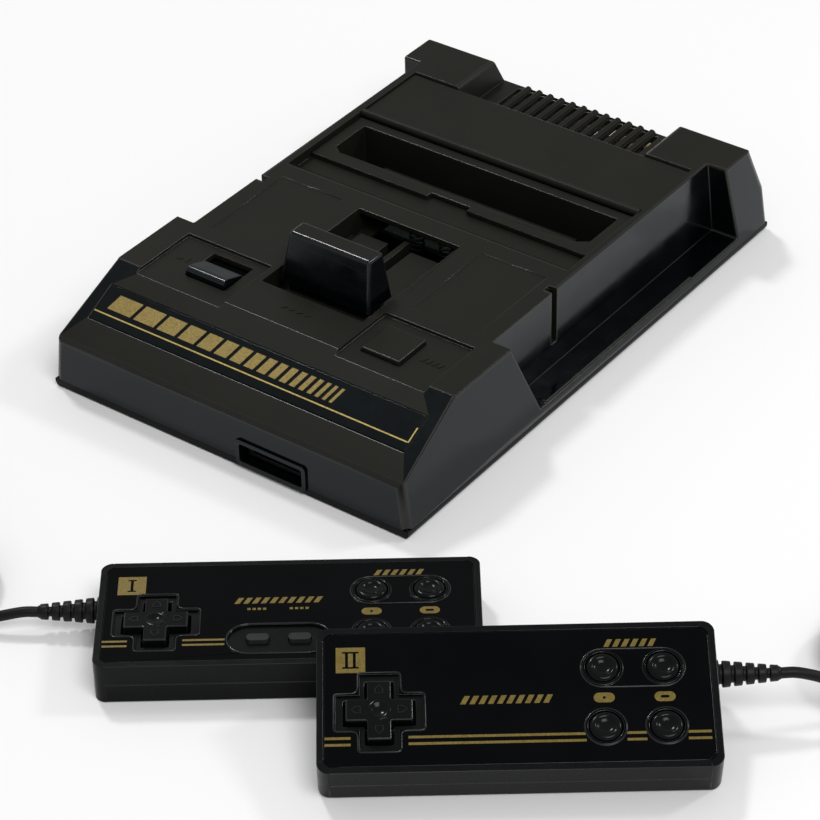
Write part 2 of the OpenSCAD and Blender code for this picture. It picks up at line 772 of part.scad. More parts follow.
// ---- flap, lever and ejector ----
module cartridge_flap() {
  color(deck_black) difference() {
    union() {
      box(-flap_w / 2, flap_w / 2, hinge_y, flap_end_y, flap_top_z - flap_t, flap_top_z);
      translate([-flap_w / 2, hinge_y, hinge_z]) rotate([0, 90, 0]) cylinder(r = barrel_r, h = flap_w);
    }
    translate([-flap_w / 2 - 1, hinge_y, hinge_z]) rotate([0, 90, 0])
      cylinder(r = pin_r + 0.05, h = flap_w + 2);
    // shallow hollow under the plate
    box(-flap_w / 2 + 2, flap_w / 2 - 2, hinge_y + barrel_r + 2.4, flap_end_y - 2,
      flap_top_z - flap_t - 1, flap_top_z - 1.5);
  }
}

module hinge_pin() {
  color(steel) translate([-flap_w / 2 - 2.4, hinge_y, hinge_z]) rotate([0, 90, 0])
    cylinder(r = pin_r, h = flap_w + 4.8);
}

module eject_lever() {
  top_z = deck_z + lever_rise;
  color(gloss_black) {
    intersection() {
      along_y(lever_foot_y0, lever_foot_y1) polygon([[-lever_foot_x, lever_foot_z],
        [lever_foot_x, lever_foot_z], [lever_top_x, top_z], [-lever_top_x, top_z]]);
      along_x(-lever_foot_x, lever_foot_x) polygon([[lever_foot_y0, lever_foot_z],
        [lever_foot_y1, lever_foot_z], [lever_top_y1, top_z], [lever_top_y0, top_z]]);
    }
    box(-slider_x + 1, slider_x - 1, lever_foot_y0 + 1, lever_foot_y1 - 1,
      slider_top_z, lever_foot_z + eps);
  }
}

function ramp_at(y) = ramp_z - ramp * (y - bar_y0);

module eject_slider() {
  color(deck_black) {
    difference() {
      union() {
        box(-slider_x, slider_x, slider_front_y, slider_back_y, slider_top_z - slider_t, slider_top_z);
        box(-flange_x, flange_x, slider_front_y, slider_back_y, flange_bottom_z,
          slider_top_z - slider_t + eps);
      }
      box(-stem_slot_half, stem_slot_half, slider_front_y + 18, slider_back_y + 1,
        flange_bottom_z - 1, slider_top_z + 1);
    }
    box(-stem_half, stem_half, slider_front_y + 17, slider_back_y + stem_reach,
      flange_bottom_z, slider_top_z);
    // two wedge arms that lift the fork
    both_sides() along_x(arm_x0, arm_x1) polygon([[slider_back_y - 11, flange_bottom_z + eps],
      [slider_back_y, flange_bottom_z + eps], [slider_back_y, ramp_at(slider_back_y)],
      [bar_y0 + 2, ramp_at(bar_y0 + 2)], [bar_y0 + 2, board_top_z + 1.4],
      [slider_back_y - 11, board_top_z + 1.4]]);
  }
}

module ejector_fork() {
  gap = 0.35;
  color(gloss_black) {
    along_x(-fork_x1, fork_x1) polygon([[bar_y0, ramp_at(bar_y0) + gap],
      [bar_y0 + bar_d, ramp_at(bar_y0 + bar_d) + gap], [bar_y0 + bar_d, bar_top_z], [bar_y0, bar_top_z]]);
    both_sides() box(fork_x0, fork_x1, bar_y0 + bar_d - eps, slot_back_y - 1.5,
      fork_top_z - fork_t, fork_top_z);
  }
}

// springs between the fork's bar and the stops under the deck
module eject_springs() {
  z0 = bar_top_z + wire_r + 0.1;
  z1 = spring_stop_z - wire_r - 0.1;
  steps = spring_turns * 9;
  sides = 6;
  points = [for (i = [0 : steps], j = [0 : sides - 1]) let(a = 40 * i, b = 360 * j / sides,
      r = spring_r + wire_r * cos(b))
    [r * cos(a), r * sin(a), z0 + (z1 - z0) * i / steps + wire_r * sin(b)]];
  color(steel) both_sides() translate([spring_x, bar_y0 + bar_d / 2, 0])
    polyhedron(points, ring_faces(steps + 1, sides));
}

// ---- switches ----
module power_knob() {
  y0 = window_y0 + 0.3;
  y1 = y0 + knob_len;
  x0 = knob_x0 + 0.3;
  x1 = knob_x1 - 0.3;
  top_z = deck_z + 1.8;
  color(gloss_black) {
    // thumb piece: rounded front, top that falls to the back
    along_x(x0, x1) polygon([[y0, tray_under_z - 0.3], [y0, top_z - 1.4], [y0 + 0.5, top_z - 0.4],
      [y0 + 1.6, top_z], [y0 + 3, top_z - 0.3], [y1, tray_floor_z + 0.4], [y1, tray_under_z - 0.3]]);
    box(x0 - 2, x1 + 2, y0 - 3, window_y1 + 5.2, tray_under_z - 2, tray_under_z - 0.29);
    box(-40, -36, y0 + 4, y1 - 2, switch_board_z + 12.3, tray_under_z - 1.9);
  }
}

module reset_button() {
  h = reset_side / 2;
  top_z = deck_z + 0.3;
  color(deck_black) {
    box(reset_x - h, reset_x + h, reset_y - h, reset_y + h, tray_under_z - 0.4, top_z);
    box(reset_x - h - 1.2, reset_x + h + 1.2, reset_y - h - 1.2, reset_y + h + 1.2,
      tray_under_z - 1.6, tray_under_z - slide_gap);
    translate([reset_x, reset_y, switch_board_z + 10 + reset_travel + 0.2])
      cylinder(r = 2.4, h = tray_under_z - 1.5 - switch_board_z - 10 - reset_travel - 0.2);
  }
}

module channel_knob() {
  knob_x = channel_x - channel_travel / 2;
  color(gloss_black) {
    box(knob_x - 1.2, knob_x + 1.2, rear_y - 3, rear_y + 0.4, jack_z - 1.6, jack_z + 1.6);
    box(knob_x - 2, knob_x + 2, rear_y - 6.1, rear_y - 3 + eps, jack_z - 1.9, jack_z + 1.9);
  }
}

// ---- game pads ----
module at_pad1() {
  translate([pad1_at[0], pad1_at[1], 0]) rotate([0, 0, pad_turn]) children();
}

module at_pad2() {
  translate([pad2_edge[0], pad2_edge[1], 0]) rotate([0, 0, pad_turn]) rotate([pad_lean, 0, 0])
    translate([0, pad_w / 2, 0]) children();
}

module at(p) {
  translate([p[0], p[1], 0]) children();
}

module pad_columns() {
  for (sx = [-1, 1], sy = [-1, 1]) translate([sx * pad_column[0], sy * pad_column[1], 0]) children();
}

// side is -1 where the cord leaves on the left and 1 on the right
module relief_hole(side) {
  translate([side * (pad_l / 2 + 1), relief_y, relief_z]) rotate([0, -side * 90, 0])
    cylinder(r = neck_r + 0.05, h = pad_wall + 2);
}

module pad_top_shell(side, keys) {
  r = pad_corner_r;
  color(gloss_black) difference() {
    union() {
      difference() {
        slab(pad_l, pad_w, r, split_z, pad_h);
        slab(pad_l - 2 * pad_wall, pad_w - 2 * pad_wall, r - pad_wall, split_z - 1, plate_under_z);
      }
      pad_columns() translate([0, 0, split_z]) cylinder(r = 3, h = plate_under_z - split_z + eps);
    }
    slab(pad_l - 2 * face_border, pad_w - 2 * face_border, r - 1, plate_top_z, pad_h + 1);
    at(dpad_pos) cross(cross_span + 2 * cross_gap, cross_arm + 2 * cross_gap, 5, pad_h);
    for (p = [a_pos, b_pos, turbo_a_pos, turbo_b_pos]) at(p)
      translate([0, 0, 5]) cylinder(r = button_r + button_gap, h = pad_h);
    if (keys) for (p = [select_pos, start_pos]) at(p)
      slab(key_l + 2 * button_gap, key_w + 2 * button_gap, 1.5, 5, pad_h);
    relief_hole(side);
    pad_columns() translate([0, 0, 5]) cylinder(r = 1.25, h = 6);
  }
}

module pad_bottom_shell(side) {
  r = pad_corner_r;
  color(gloss_black) difference() {
    union() {
      difference() {
        slab(pad_l, pad_w, r, 0, split_z);
        slab(pad_l - 2 * pad_wall, pad_w - 2 * pad_wall, r - pad_wall, pad_wall, split_z + 1);
      }
      pad_columns() translate([0, 0, 1]) cylinder(r = 3.2, h = split_z - 1);
      // seats for the board and the post under the direction cross
      for (x = [-20, 12, 34]) box(x - 0.8, x + 0.8, -pad_w / 2 + 5, pad_w / 2 - 5, 1, pad_board_z);
      at(dpad_pos) translate([0, 0, 1]) cylinder(r = 2.6, h = ball_z - 1.5);
    }
    pad_columns() translate([0, 0, -1]) {
      cylinder(r = 2.9, h = 3.2);
      cylinder(r = 1.5, h = 10);
    }
    at(dpad_pos) translate([0, 0, ball_z]) sphere(r = ball_r + ball_gap);
    relief_hole(side);
  }
}

module pad_faceplate(keys) {
  w = 2 * face_border + 0.3;
  z1 = plate_top_z + face_t;
  color([0.07, 0.075, 0.085]) difference() {
    union() {
      slab(pad_l - w, pad_w - w, pad_corner_r - 1.2, plate_top_z, z1);
      for (p = [a_pos, b_pos, turbo_a_pos, turbo_b_pos]) at(p)
        translate([0, 0, z1 - eps]) cylinder(r = button_r + button_gap + ring_w, h = 0.5);
    }
    at(dpad_pos) cross(well_span, well_arm, 5, pad_h + 1);
    for (p = [a_pos, b_pos, turbo_a_pos, turbo_b_pos]) at(p)
      translate([0, 0, 5]) cylinder(r = button_r + button_gap, h = pad_h);
    if (keys) at(pill_pos) slab(pill_l, pill_w, pill_w / 2 - eps, 5, pad_h + 1);
  }
}

module pad_board() {
  color(board_green) difference() {
    slab(pad_l - 2 * pad_wall - 4, pad_w - 2 * pad_wall - 1, 1.5, pad_board_z, mat_z);
    pad_columns() cylinder(r = 3.7, h = 10);
    at(dpad_pos) cylinder(r = 3, h = 10);
  }
}

module pad_mats(keys) {
  right_x = (a_pos[0] + b_pos[0]) / 2;
  right_y = (a_pos[1] + turbo_a_pos[1]) / 2;
  color(rubber_grey) {
    difference() {
      at(dpad_pos) slab(22, 22, 2, mat_z, mat_z + mat_t);
      at(dpad_pos) cylinder(r = 3.3, h = 10);
    }
    for (a = [0 : 90 : 270]) at(dpad_pos) rotate(a) translate([7.4, 0, mat_z + mat_t - eps])
      cylinder(r = 2, h = dome_h - 0.4);
    translate([right_x, right_y, 0]) slab(30, 32, 2, mat_z, mat_z + mat_t);
    for (p = [a_pos, b_pos, turbo_a_pos, turbo_b_pos]) at(p) translate([0, 0, mat_z + mat_t - eps])
      cylinder(r1 = dome_r, r2 = 2.4, h = dome_h);
    if (keys) {
      at(pill_pos) slab(26, 11, 2, mat_z, mat_z + mat_t);
      for (p = [select_pos, start_pos]) at(p) translate([0, 0, mat_z + mat_t - eps])
        cylinder(r = 2, h = dome_h);
    }
  }
}

module pad_dpad() {
  top_z = pad_h + 1.4;
  color(gloss_black) at(dpad_pos) difference() {
    union() {
      cross(cross_span, cross_arm, plate_under_z - 1.7, top_z);
      cross(cross_span + 2.7, cross_arm + 2.9, plate_under_z - 2.4, plate_under_z - 1.6);
      translate([0, 0, ball_z + 0.5]) cylinder(r = 3.4, h = plate_under_z - 2.3 - ball_z);
    }
    translate([0, 0, ball_z]) sphere(r = ball_r + ball_gap);
    // round dimple in the middle
    translate([0, 0, top_z + 2.6]) sphere(r = 3.4);
  }
}

module pad_dpad_pivot() {
  color(rubber_grey) at(dpad_pos) translate([0, 0, ball_z]) sphere(r = ball_r);
}

// round button: cap with a hollow top, a flange under the shell and a short foot
module round_button(p) {
  dish_r = 14;
  color(gloss_black) at(p) difference() {
    union() {
      translate([0, 0, plate_under_z - 1]) cylinder(r = button_r, h = button_top_z - plate_under_z + 1);
      translate([0, 0, plate_under_z - slide_gap - 1.3]) cylinder(r = button_r + button_flange, h = 1.3);
      translate([0, 0, button_foot_z]) cylinder(r = 3.2, h = 1.5);
    }
    translate([0, 0, button_top_z + dish_r - 0.7]) sphere(r = dish_r, $fn = 64);
  }
}

module key_button(p) {
  color(rubber_grey) at(p) {
    slab(key_l, key_w, 1.4, plate_under_z - 1, pad_h + 0.5);
    slab(key_l + 2, key_w + 2, 1.4, plate_under_z - slide_gap - 1.2, plate_under_z - slide_gap);
    slab(key_l - 2, key_w - 0.4, 1.2, button_foot_z, plate_under_z - 1);
  }
}

module pad_screws() {
  color(steel) pad_columns() translate([0, 0, 0.6]) {
    cylinder(r = 2.6, h = 1.6);
    cylinder(r = 1.2, h = 9.4);
  }
}

module pad_strain_relief(side) {
  step = relief_len / relief_ribs;
  outer = function(i) 4.2 - 0.36 * i;
  profile = concat([[0, 0], [neck_r, 0], [neck_r, pad_wall + 0.3]],
    [for (i = [0 : relief_ribs - 1]) let(z = pad_wall + 0.3 + i * step, r = outer(i))
      each [[r, z], [r, z + 0.62 * step], [r - 0.9, z + 0.62 * step], [r - 0.9, z + step]]],
    [[0, pad_wall + 0.3 + relief_len - 0.3]]);
  ends = [for (p = profile) [p[0], min(p[1], pad_wall + relief_len)]];
  color(cord_black) translate([side * (pad_l / 2 - pad_wall), relief_y, relief_z])
    rotate([0, side * 90, 0]) {
      rotate_extrude($fn = 32) polygon(ends);
      translate([0, 0, -1.3]) cylinder(r = neck_r + 1.4, h = 1.3);
    }
}

// ---- cords ----
// triangles of a tube of n rings with s points each, closed at both ends
function ring_faces(n, s) = concat(
  [[for (j = [0 : s - 1]) j]],
  [for (i = [0 : n - 2], j = [0 : s - 1]) let(k = (j + 1) % s)
    [i * s + j, (i + 1) * s + j, (i + 1) * s + k, i * s + k]],
  [[for (j = [s - 1 : -1 : 0]) (n - 1) * s + j]]);

function unit(v) = v / norm(v);

module cord_tube(route) {
  n = len(route);
  s = 8;
  points = [for (i = [0 : n - 1]) let(
      t = unit(route[min(i + 1, n - 1)] - route[max(i - 1, 0)]),
      a = unit(cross([0, 0, 1], t)),
      b = cross(t, a))
    for (j = [0 : s - 1]) route[i] + cord_r * (cos(360 * j / s) * a + sin(360 * j / s) * b)];
  polyhedron(points, ring_faces(n, s));
}

module cord_coil(p) {
  r0 = coil_mid_d / 2 - coil_w / 2;
  c = cord_r;
  color(cord_black) translate([p[0], p[1], 0]) rotate_extrude($fn = 64) polygon([
    [r0 + c, 0], [coil_out_r - c, 0], [coil_out_r, c], [coil_out_r, coil_w - c],
    [coil_out_r - c, coil_w], [r0 + c, coil_w], [r0, coil_w - c], [r0, c]]);
}

module cord_plug(p, turn) {
  color(cord_black) translate([p[0], p[1], p[2]]) rotate([0, 0, turn]) {
    rotate([0, 90, 0]) cylinder(r1 = cord_r + 0.5, r2 = 3.4, h = plug_neck_l);
    translate([plug_neck_l - eps, 0, 0]) rotate([90, 0, 90]) linear_extrude(hood_l)
      round_rect(hood_w, hood_h, 3);
  }
  color(steel) translate([p[0], p[1], p[2]]) rotate([0, 0, turn])
    translate([plug_neck_l + hood_l - 2 * eps, 0, 0]) rotate([90, 0, 90]) {
      linear_extrude(1) round_rect(hood_w - 2, hood_h - 3, 1.5);
      linear_extrude(6.5) round_rect(16.8, 8.2, 2);
    }
}

lower_shell();
upper_shell();
jack_panel();
slot_frame();
name_plate();
port_bezel();
main_board();
cartridge_connector();
board_chips();
rf_modulator();
heatsink();
expansion_connector();
pad_sockets();
rear_jacks();
panel_switches();
case_screws();
board_screws();
eject_springs();
cartridge_flap();
hinge_pin();
eject_lever();
eject_slider();
ejector_fork();
power_knob();
reset_button();
channel_knob();
at_pad1() pad_top_shell(-1, true);  // pad1_top_shell
at_pad1() pad_bottom_shell(-1);  // pad1_bottom_shell
at_pad1() pad_faceplate(true);  // pad1_faceplate
at_pad1() pad_board();  // pad1_board
at_pad1() pad_mats(true);  // pad1_mats
at_pad1() pad_dpad();  // pad1_dpad
at_pad1() pad_dpad_pivot();  // pad1_dpad_pivot
at_pad1() round_button(a_pos);  // pad1_button_a
at_pad1() round_button(b_pos);  // pad1_button_b
at_pad1() round_button(turbo_a_pos);  // pad1_turbo_a
at_pad1() round_button(turbo_b_pos);  // pad1_turbo_b
at_pad1() key_button(select_pos);  // pad1_select
at_pad1() key_button(start_pos);  // pad1_start
at_pad1() pad_screws();  // pad1_screws
at_pad1() pad_strain_relief(-1);  // pad1_strain_relief
color(cord_black) { cord_tube(route1); cord_tube(tail1); }  // pad1_cord
cord_coil(coil1_at);  // pad1_cord_coil
cord_plug(plug1_at, plug1_turn);  // pad1_plug
at_pad2() pad_top_shell(1, false);  // pad2_top_shell
at_pad2() pad_bottom_shell(1);  // pad2_bottom_shell
at_pad2() pad_faceplate(false);  // pad2_faceplate
at_pad2() pad_board();  // pad2_board
at_pad2() pad_mats(false);  // pad2_mats
at_pad2() pad_dpad();  // pad2_dpad
at_pad2() pad_dpad_pivot();  // pad2_dpad_pivot
at_pad2() round_button(a_pos);  // pad2_button_a
at_pad2() round_button(b_pos);  // pad2_button_b
at_pad2() round_button(turbo_a_pos);  // pad2_turbo_a
at_pad2() round_button(turbo_b_pos);  // pad2_turbo_b
at_pad2() pad_screws();  // pad2_screws
at_pad2() pad_strain_relief(1);  // pad2_strain_relief
color(cord_black) { cord_tube(route2); cord_tube(tail2); }  // pad2_cord
cord_coil(coil2_at);  // pad2_cord_coil
cord_plug(plug2_at, plug2_turn);  // pad2_plug
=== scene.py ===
import json
import math

import bmesh
import bpy
import numpy as np
from mathutils import Matrix, Vector

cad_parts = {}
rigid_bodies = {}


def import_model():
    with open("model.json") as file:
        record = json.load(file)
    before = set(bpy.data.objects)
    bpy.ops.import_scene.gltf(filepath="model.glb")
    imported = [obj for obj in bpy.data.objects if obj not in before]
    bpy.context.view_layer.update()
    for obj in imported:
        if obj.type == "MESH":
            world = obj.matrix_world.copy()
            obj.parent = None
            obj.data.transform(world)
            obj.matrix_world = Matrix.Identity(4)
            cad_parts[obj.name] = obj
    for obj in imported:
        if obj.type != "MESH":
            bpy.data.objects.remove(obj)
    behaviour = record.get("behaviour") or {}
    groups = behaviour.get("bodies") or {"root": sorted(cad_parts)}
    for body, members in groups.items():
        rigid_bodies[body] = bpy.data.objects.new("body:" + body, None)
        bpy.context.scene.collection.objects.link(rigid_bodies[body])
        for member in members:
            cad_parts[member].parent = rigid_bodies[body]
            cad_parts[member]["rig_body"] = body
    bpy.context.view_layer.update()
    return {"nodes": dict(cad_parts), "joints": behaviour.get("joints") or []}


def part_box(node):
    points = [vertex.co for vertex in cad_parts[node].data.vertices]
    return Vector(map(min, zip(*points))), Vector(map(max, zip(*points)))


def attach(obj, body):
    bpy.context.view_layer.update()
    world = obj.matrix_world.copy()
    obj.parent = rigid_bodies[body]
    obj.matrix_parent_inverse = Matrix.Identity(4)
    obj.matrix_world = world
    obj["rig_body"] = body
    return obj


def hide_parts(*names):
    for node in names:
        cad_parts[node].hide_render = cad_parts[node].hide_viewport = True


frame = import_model()
mm = 0.001
print("frame loaded:", len(frame["nodes"]), "nodes")


# where the camera stands and looks in metres, its roll in degrees and its lens in millimetres
viewPoint = {
    "place": (0.5584, -0.7556, 0.6430),
    "target": (0.0534, -0.0803, 0.0240),
    "roll": -1.18,
    "lens": 140.6,
    "sensor": 36,
    "clip": (0.05, 20),
}


def makeCamera(view):
    data = bpy.data.cameras.new("camera")
    data.lens = view["lens"]
    data.sensor_width = view["sensor"]
    data.clip_start, data.clip_end = view["clip"]
    camera = bpy.data.objects.new("camera", data)
    bpy.context.scene.collection.objects.link(camera)
    aim = Vector(view["target"]) - Vector(view["place"])
    turn = aim.to_track_quat("-Z", "Y").to_matrix().to_4x4()
    turn = turn @ Matrix.Rotation(math.radians(view["roll"]), 4, "Z")
    camera.matrix_world = Matrix.Translation(view["place"]) @ turn
    bpy.context.scene.camera = camera


makeCamera(viewPoint)


def nodeTree(name):
    material = bpy.data.materials.new(name)
    material.use_nodes = True
    tree = material.node_tree
    shader = tree.nodes["Principled BSDF"]
    place = tree.nodes.new("ShaderNodeTexCoord")
    return material, tree, shader, place.outputs["Object"]


def noiseNode(tree, place, scale, detail=3.0, rough=0.5, stretch=None):
    noise = tree.nodes.new("ShaderNodeTexNoise")
    noise.inputs["Scale"].default_value = scale
    noise.inputs["Detail"].default_value = detail
    noise.inputs["Roughness"].default_value = rough
    source = place
    if stretch:
        mapping = tree.nodes.new("ShaderNodeMapping")
        mapping.inputs["Scale"].default_value = stretch
        tree.links.new(place, mapping.inputs["Vector"])
        source = mapping.outputs["Vector"]
    tree.links.new(source, noise.inputs["Vector"])
    return noise.outputs["Fac"]


def rangeNode(tree, value, low, high, start=0.3, stop=0.7):
    node = tree.nodes.new("ShaderNodeMapRange")
    node.inputs["From Min"].default_value = start
    node.inputs["From Max"].default_value = stop
    node.inputs["To Min"].default_value = low
    node.inputs["To Max"].default_value = high
    tree.links.new(value, node.inputs["Value"])
    return node.outputs["Result"]


def mixColours(tree, value, first, second):
    node = tree.nodes.new("ShaderNodeMix")
    node.data_type = "RGBA"
    node.inputs["A"].default_value = (*first, 1)
    node.inputs["B"].default_value = (*second, 1)
    tree.links.new(value, node.inputs["Factor"])
    return node.outputs["Result"]


def bumpNode(tree, height, distance, strength, under=None):
    node = tree.nodes.new("ShaderNodeBump")
    node.inputs["Distance"].default_value = distance
    node.inputs["Strength"].default_value = strength
    tree.links.new(height, node.inputs["Height"])
    if under is not None:
        tree.links.new(under, node.inputs["Normal"])
    return node.outputs["Normal"]


plasticPattern = {"clouds": 45, "smudges": 120, "hairs": 420, "hairStretch": (0.05, 1.6, 1),
                  "hairDepth": 0.00002}


# moulded plastic: two close tints in soft clouds, uneven gloss, a fine grain and a few hair scratches
def mouldedPlastic(name, s):
    material, tree, shader, place = nodeTree(name)
    clouds = noiseNode(tree, place, plasticPattern["clouds"], 4)
    tint = rangeNode(tree, clouds, 0, 1)
    tree.links.new(mixColours(tree, tint, s["colour"], s["worn"]), shader.inputs["Base Color"])
    smudge = noiseNode(tree, place, plasticPattern["smudges"], 5, 0.6)
    tree.links.new(rangeNode(tree, smudge, s["gloss"][0], s["gloss"][1]), shader.inputs["Roughness"])
    grain = noiseNode(tree, place, s["grainScale"], 2)
    normal = bumpNode(tree, grain, s["grainDepth"], s.get("grainStrength", 0.6))
    if s.get("scratches"):
        hair = noiseNode(tree, place, plasticPattern["hairs"], 1.5, 0.4, plasticPattern["hairStretch"])
        hair = rangeNode(tree, hair, 0, 1, 0.62, 0.66)
        normal = bumpNode(tree, hair, plasticPattern["hairDepth"], s["scratches"], normal)
    tree.links.new(normal, shader.inputs["Normal"])
    shader.inputs["Specular IOR Level"].default_value = s["specular"]
    shader.inputs["Specular Tint"].default_value = (*s.get("sheen", (1, 1, 1)), 1)
    return material


# metal with fine brushing along X
def brushedMetal(name, s):
    material, tree, shader, place = nodeTree(name)
    shader.inputs["Metallic"].default_value = 1.0
    stains = rangeNode(tree, noiseNode(tree, place, 150, 4), 0, 1)
    tree.links.new(mixColours(tree, stains, s["colour"], s["worn"]), shader.inputs["Base Color"])
    lines = noiseNode(tree, place, 900, 3, 0.6, stretch=(0.06, 1, 1))
    tree.links.new(rangeNode(tree, lines, s["gloss"][0], s["gloss"][1]), shader.inputs["Roughness"])
    tree.links.new(bumpNode(tree, lines, 0.00001, 0.25), shader.inputs["Normal"])
    return material


# printed gold: a warm ink with speckled wear
def goldInk(name, s):
    material, tree, shader, place = nodeTree(name)
    speckle = rangeNode(tree, noiseNode(tree, place, 1500, 3, 0.7), 0, 1, 0.35, 0.6)
    tree.links.new(mixColours(tree, speckle, s["worn"], s["colour"]), shader.inputs["Base Color"])
    tree.links.new(rangeNode(tree, noiseNode(tree, place, 300, 3), 0.3, 0.5), shader.inputs["Roughness"])
    tree.links.new(bumpNode(tree, noiseNode(tree, place, 2500, 2), 0.00001, 0.3), shader.inputs["Normal"])
    shader.inputs["Metallic"].default_value = s["metal"]
    return material


# circuit board: green mask over darker copper tracks in stepped bands
def circuitBoard(name):
    material, tree, shader, place = nodeTree(name)
    brick = tree.nodes.new("ShaderNodeTexBrick")
    brick.inputs["Scale"].default_value = 260
    brick.inputs["Color1"].default_value = (0.003, 0.014, 0.007, 1)
    brick.inputs["Color2"].default_value = (0.005, 0.022, 0.010, 1)
    brick.inputs["Mortar"].default_value = (0.002, 0.009, 0.005, 1)
    brick.inputs["Mortar Size"].default_value = 0.12
    tree.links.new(place, brick.inputs["Vector"])
    tree.links.new(brick.outputs["Color"], shader.inputs["Base Color"])
    tree.links.new(bumpNode(tree, brick.outputs["Fac"], 0.00003, 0.5), shader.inputs["Normal"])
    shader.inputs["Roughness"].default_value = 0.32
    return material


finishes = {
    "deckPlastic": mouldedPlastic("deckPlastic", {
        "colour": (0.0092, 0.0090, 0.0064), "worn": (0.0112, 0.0109, 0.0080), "gloss": (0.38, 0.48),
        "grainScale": 2600, "grainDepth": 0.00004, "specular": 0.12}),
    # rounded deck edges: glossier than the deck, which is real, and lighter in colour, which is a painted
    # highlight
    "deckEdgeHighlight": mouldedPlastic("deckEdgeHighlight", {
        "colour": (0.0110, 0.0108, 0.0088), "worn": (0.0140, 0.0138, 0.0116), "gloss": (0.22, 0.30),
        "grainScale": 2600, "grainDepth": 0.00001, "grainStrength": 0.3, "specular": 0.30}),
    "glossPlastic": mouldedPlastic("glossPlastic", {
        "colour": (0.0008, 0.0013, 0.0017), "worn": (0.0014, 0.0020, 0.0025), "gloss": (0.10, 0.20),
        "grainScale": 1300, "grainDepth": 0.00001, "grainStrength": 0.3, "specular": 0.24,
        "sheen": (0.80, 0.93, 1.0), "scratches": 0.25}),
    # rounded gloss edges: glossier and much lighter than the gloss faces; the lighter colour is a painted
    # highlight
    "glossEdgeHighlight": mouldedPlastic("glossEdgeHighlight", {
        "colour": (0.0040, 0.0052, 0.0062), "worn": (0.0056, 0.0070, 0.0082), "gloss": (0.14, 0.22),
        "grainScale": 1300, "grainDepth": 0.00001, "grainStrength": 0.2, "specular": 0.35}),
    "basePlastic": mouldedPlastic("basePlastic", {
        "colour": (0.0030, 0.0035, 0.0040), "worn": (0.0042, 0.0047, 0.0052), "gloss": (0.25, 0.38),
        "grainScale": 1800, "grainDepth": 0.00002, "specular": 0.10}),
    "padPlastic": mouldedPlastic("padPlastic", {
        "colour": (0.0030, 0.0034, 0.0037), "worn": (0.0042, 0.0047, 0.0050), "gloss": (0.20, 0.32),
        "grainScale": 1500, "grainDepth": 0.000012, "grainStrength": 0.4, "specular": 0.12,
        "scratches": 0.2}),
    # pad edges, face lips and cross arrows: glossier than the pad, which is real, and lighter in colour,
    # which is a painted highlight
    "padEdgeHighlight": mouldedPlastic("padEdgeHighlight", {
        "colour": (0.0060, 0.0066, 0.0072), "worn": (0.0085, 0.0092, 0.0098), "gloss": (0.14, 0.22),
        "grainScale": 1500, "grainDepth": 0.000006, "grainStrength": 0.2, "specular": 0.40}),
    "facePlastic": mouldedPlastic("facePlastic", {
        "colour": (0.0012, 0.0014, 0.0018), "worn": (0.0020, 0.0022, 0.0027), "gloss": (0.07, 0.13),
        "grainScale": 900, "grainDepth": 0.000006, "grainStrength": 0.2, "specular": 0.06,
        "scratches": 0.2}),
    "buttonPlastic": mouldedPlastic("buttonPlastic", {
        "colour": (0.0026, 0.0030, 0.0033), "worn": (0.0038, 0.0042, 0.0046), "gloss": (0.12, 0.22),
        "grainScale": 1600, "grainDepth": 0.00001, "grainStrength": 0.3, "specular": 0.14}),
    "greyRubber": mouldedPlastic("greyRubber", {
        "colour": (0.020, 0.021, 0.022), "worn": (0.030, 0.031, 0.032), "gloss": (0.55, 0.70),
        "grainScale": 3200, "grainDepth": 0.00005, "grainStrength": 0.8, "specular": 0.15}),
    "cordVinyl": mouldedPlastic("cordVinyl", {
        "colour": (0.0040, 0.0043, 0.0046), "worn": (0.0062, 0.0065, 0.0068), "gloss": (0.36, 0.50),
        "grainScale": 2200, "grainDepth": 0.00003, "specular": 0.18}),
    "connectorPlastic": mouldedPlastic("connectorPlastic", {
        "colour": (0.0060, 0.0060, 0.0066), "worn": (0.0085, 0.0085, 0.0092), "gloss": (0.35, 0.5),
        "grainScale": 2200, "grainDepth": 0.00002, "specular": 0.2}),
    "steel": brushedMetal("steel", {
        "colour": (0.50, 0.51, 0.53), "worn": (0.40, 0.41, 0.42), "gloss": (0.25, 0.42)}),
    # near-black steel for the eject springs, which sit deep in the lever opening: the darkness is painted
    # shade
    "shadedSpringWire": brushedMetal("shadedSpringWire", {
        "colour": (0.14, 0.14, 0.15), "worn": (0.08, 0.08, 0.09), "gloss": (0.30, 0.45)}),
    "tinPlate": brushedMetal("tinPlate", {
        "colour": (0.55, 0.56, 0.57), "worn": (0.45, 0.45, 0.45), "gloss": (0.22, 0.4)}),
    "aluminium": brushedMetal("aluminium", {
        "colour": (0.68, 0.69, 0.70), "worn": (0.58, 0.59, 0.60), "gloss": (0.30, 0.45)}),
    "brass": brushedMetal("brass", {
        "colour": (0.66, 0.50, 0.20), "worn": (0.52, 0.38, 0.15), "gloss": (0.2, 0.35)}),
    "goldPrint": goldInk("goldPrint", {
        "colour": (0.300, 0.215, 0.050), "worn": (0.170, 0.120, 0.028), "metal": 0.25}),
    "padGold": goldInk("padGold", {
        "colour": (0.190, 0.134, 0.020), "worn": (0.120, 0.084, 0.012), "metal": 0.25}),
    "goldLine": goldInk("goldLine", {
        "colour": (0.520, 0.400, 0.120), "worn": (0.330, 0.240, 0.065), "metal": 0.3}),
    "circuitBoard": circuitBoard("circuitBoard"),
}
print("materials made:", len(finishes))


# 4 x 4 place from three axes and an origin
def matrixFrom(xAxis, yAxis, zAxis, origin):
    place = np.eye(4)
    place[:3, 0], place[:3, 1], place[:3, 2], place[:3, 3] = xAxis, yAxis, zAxis, origin
    return place


joints = {j["name"]: j for j in frame["joints"]}
crossCentre = np.array([-40.6, -4.3, 7.9])


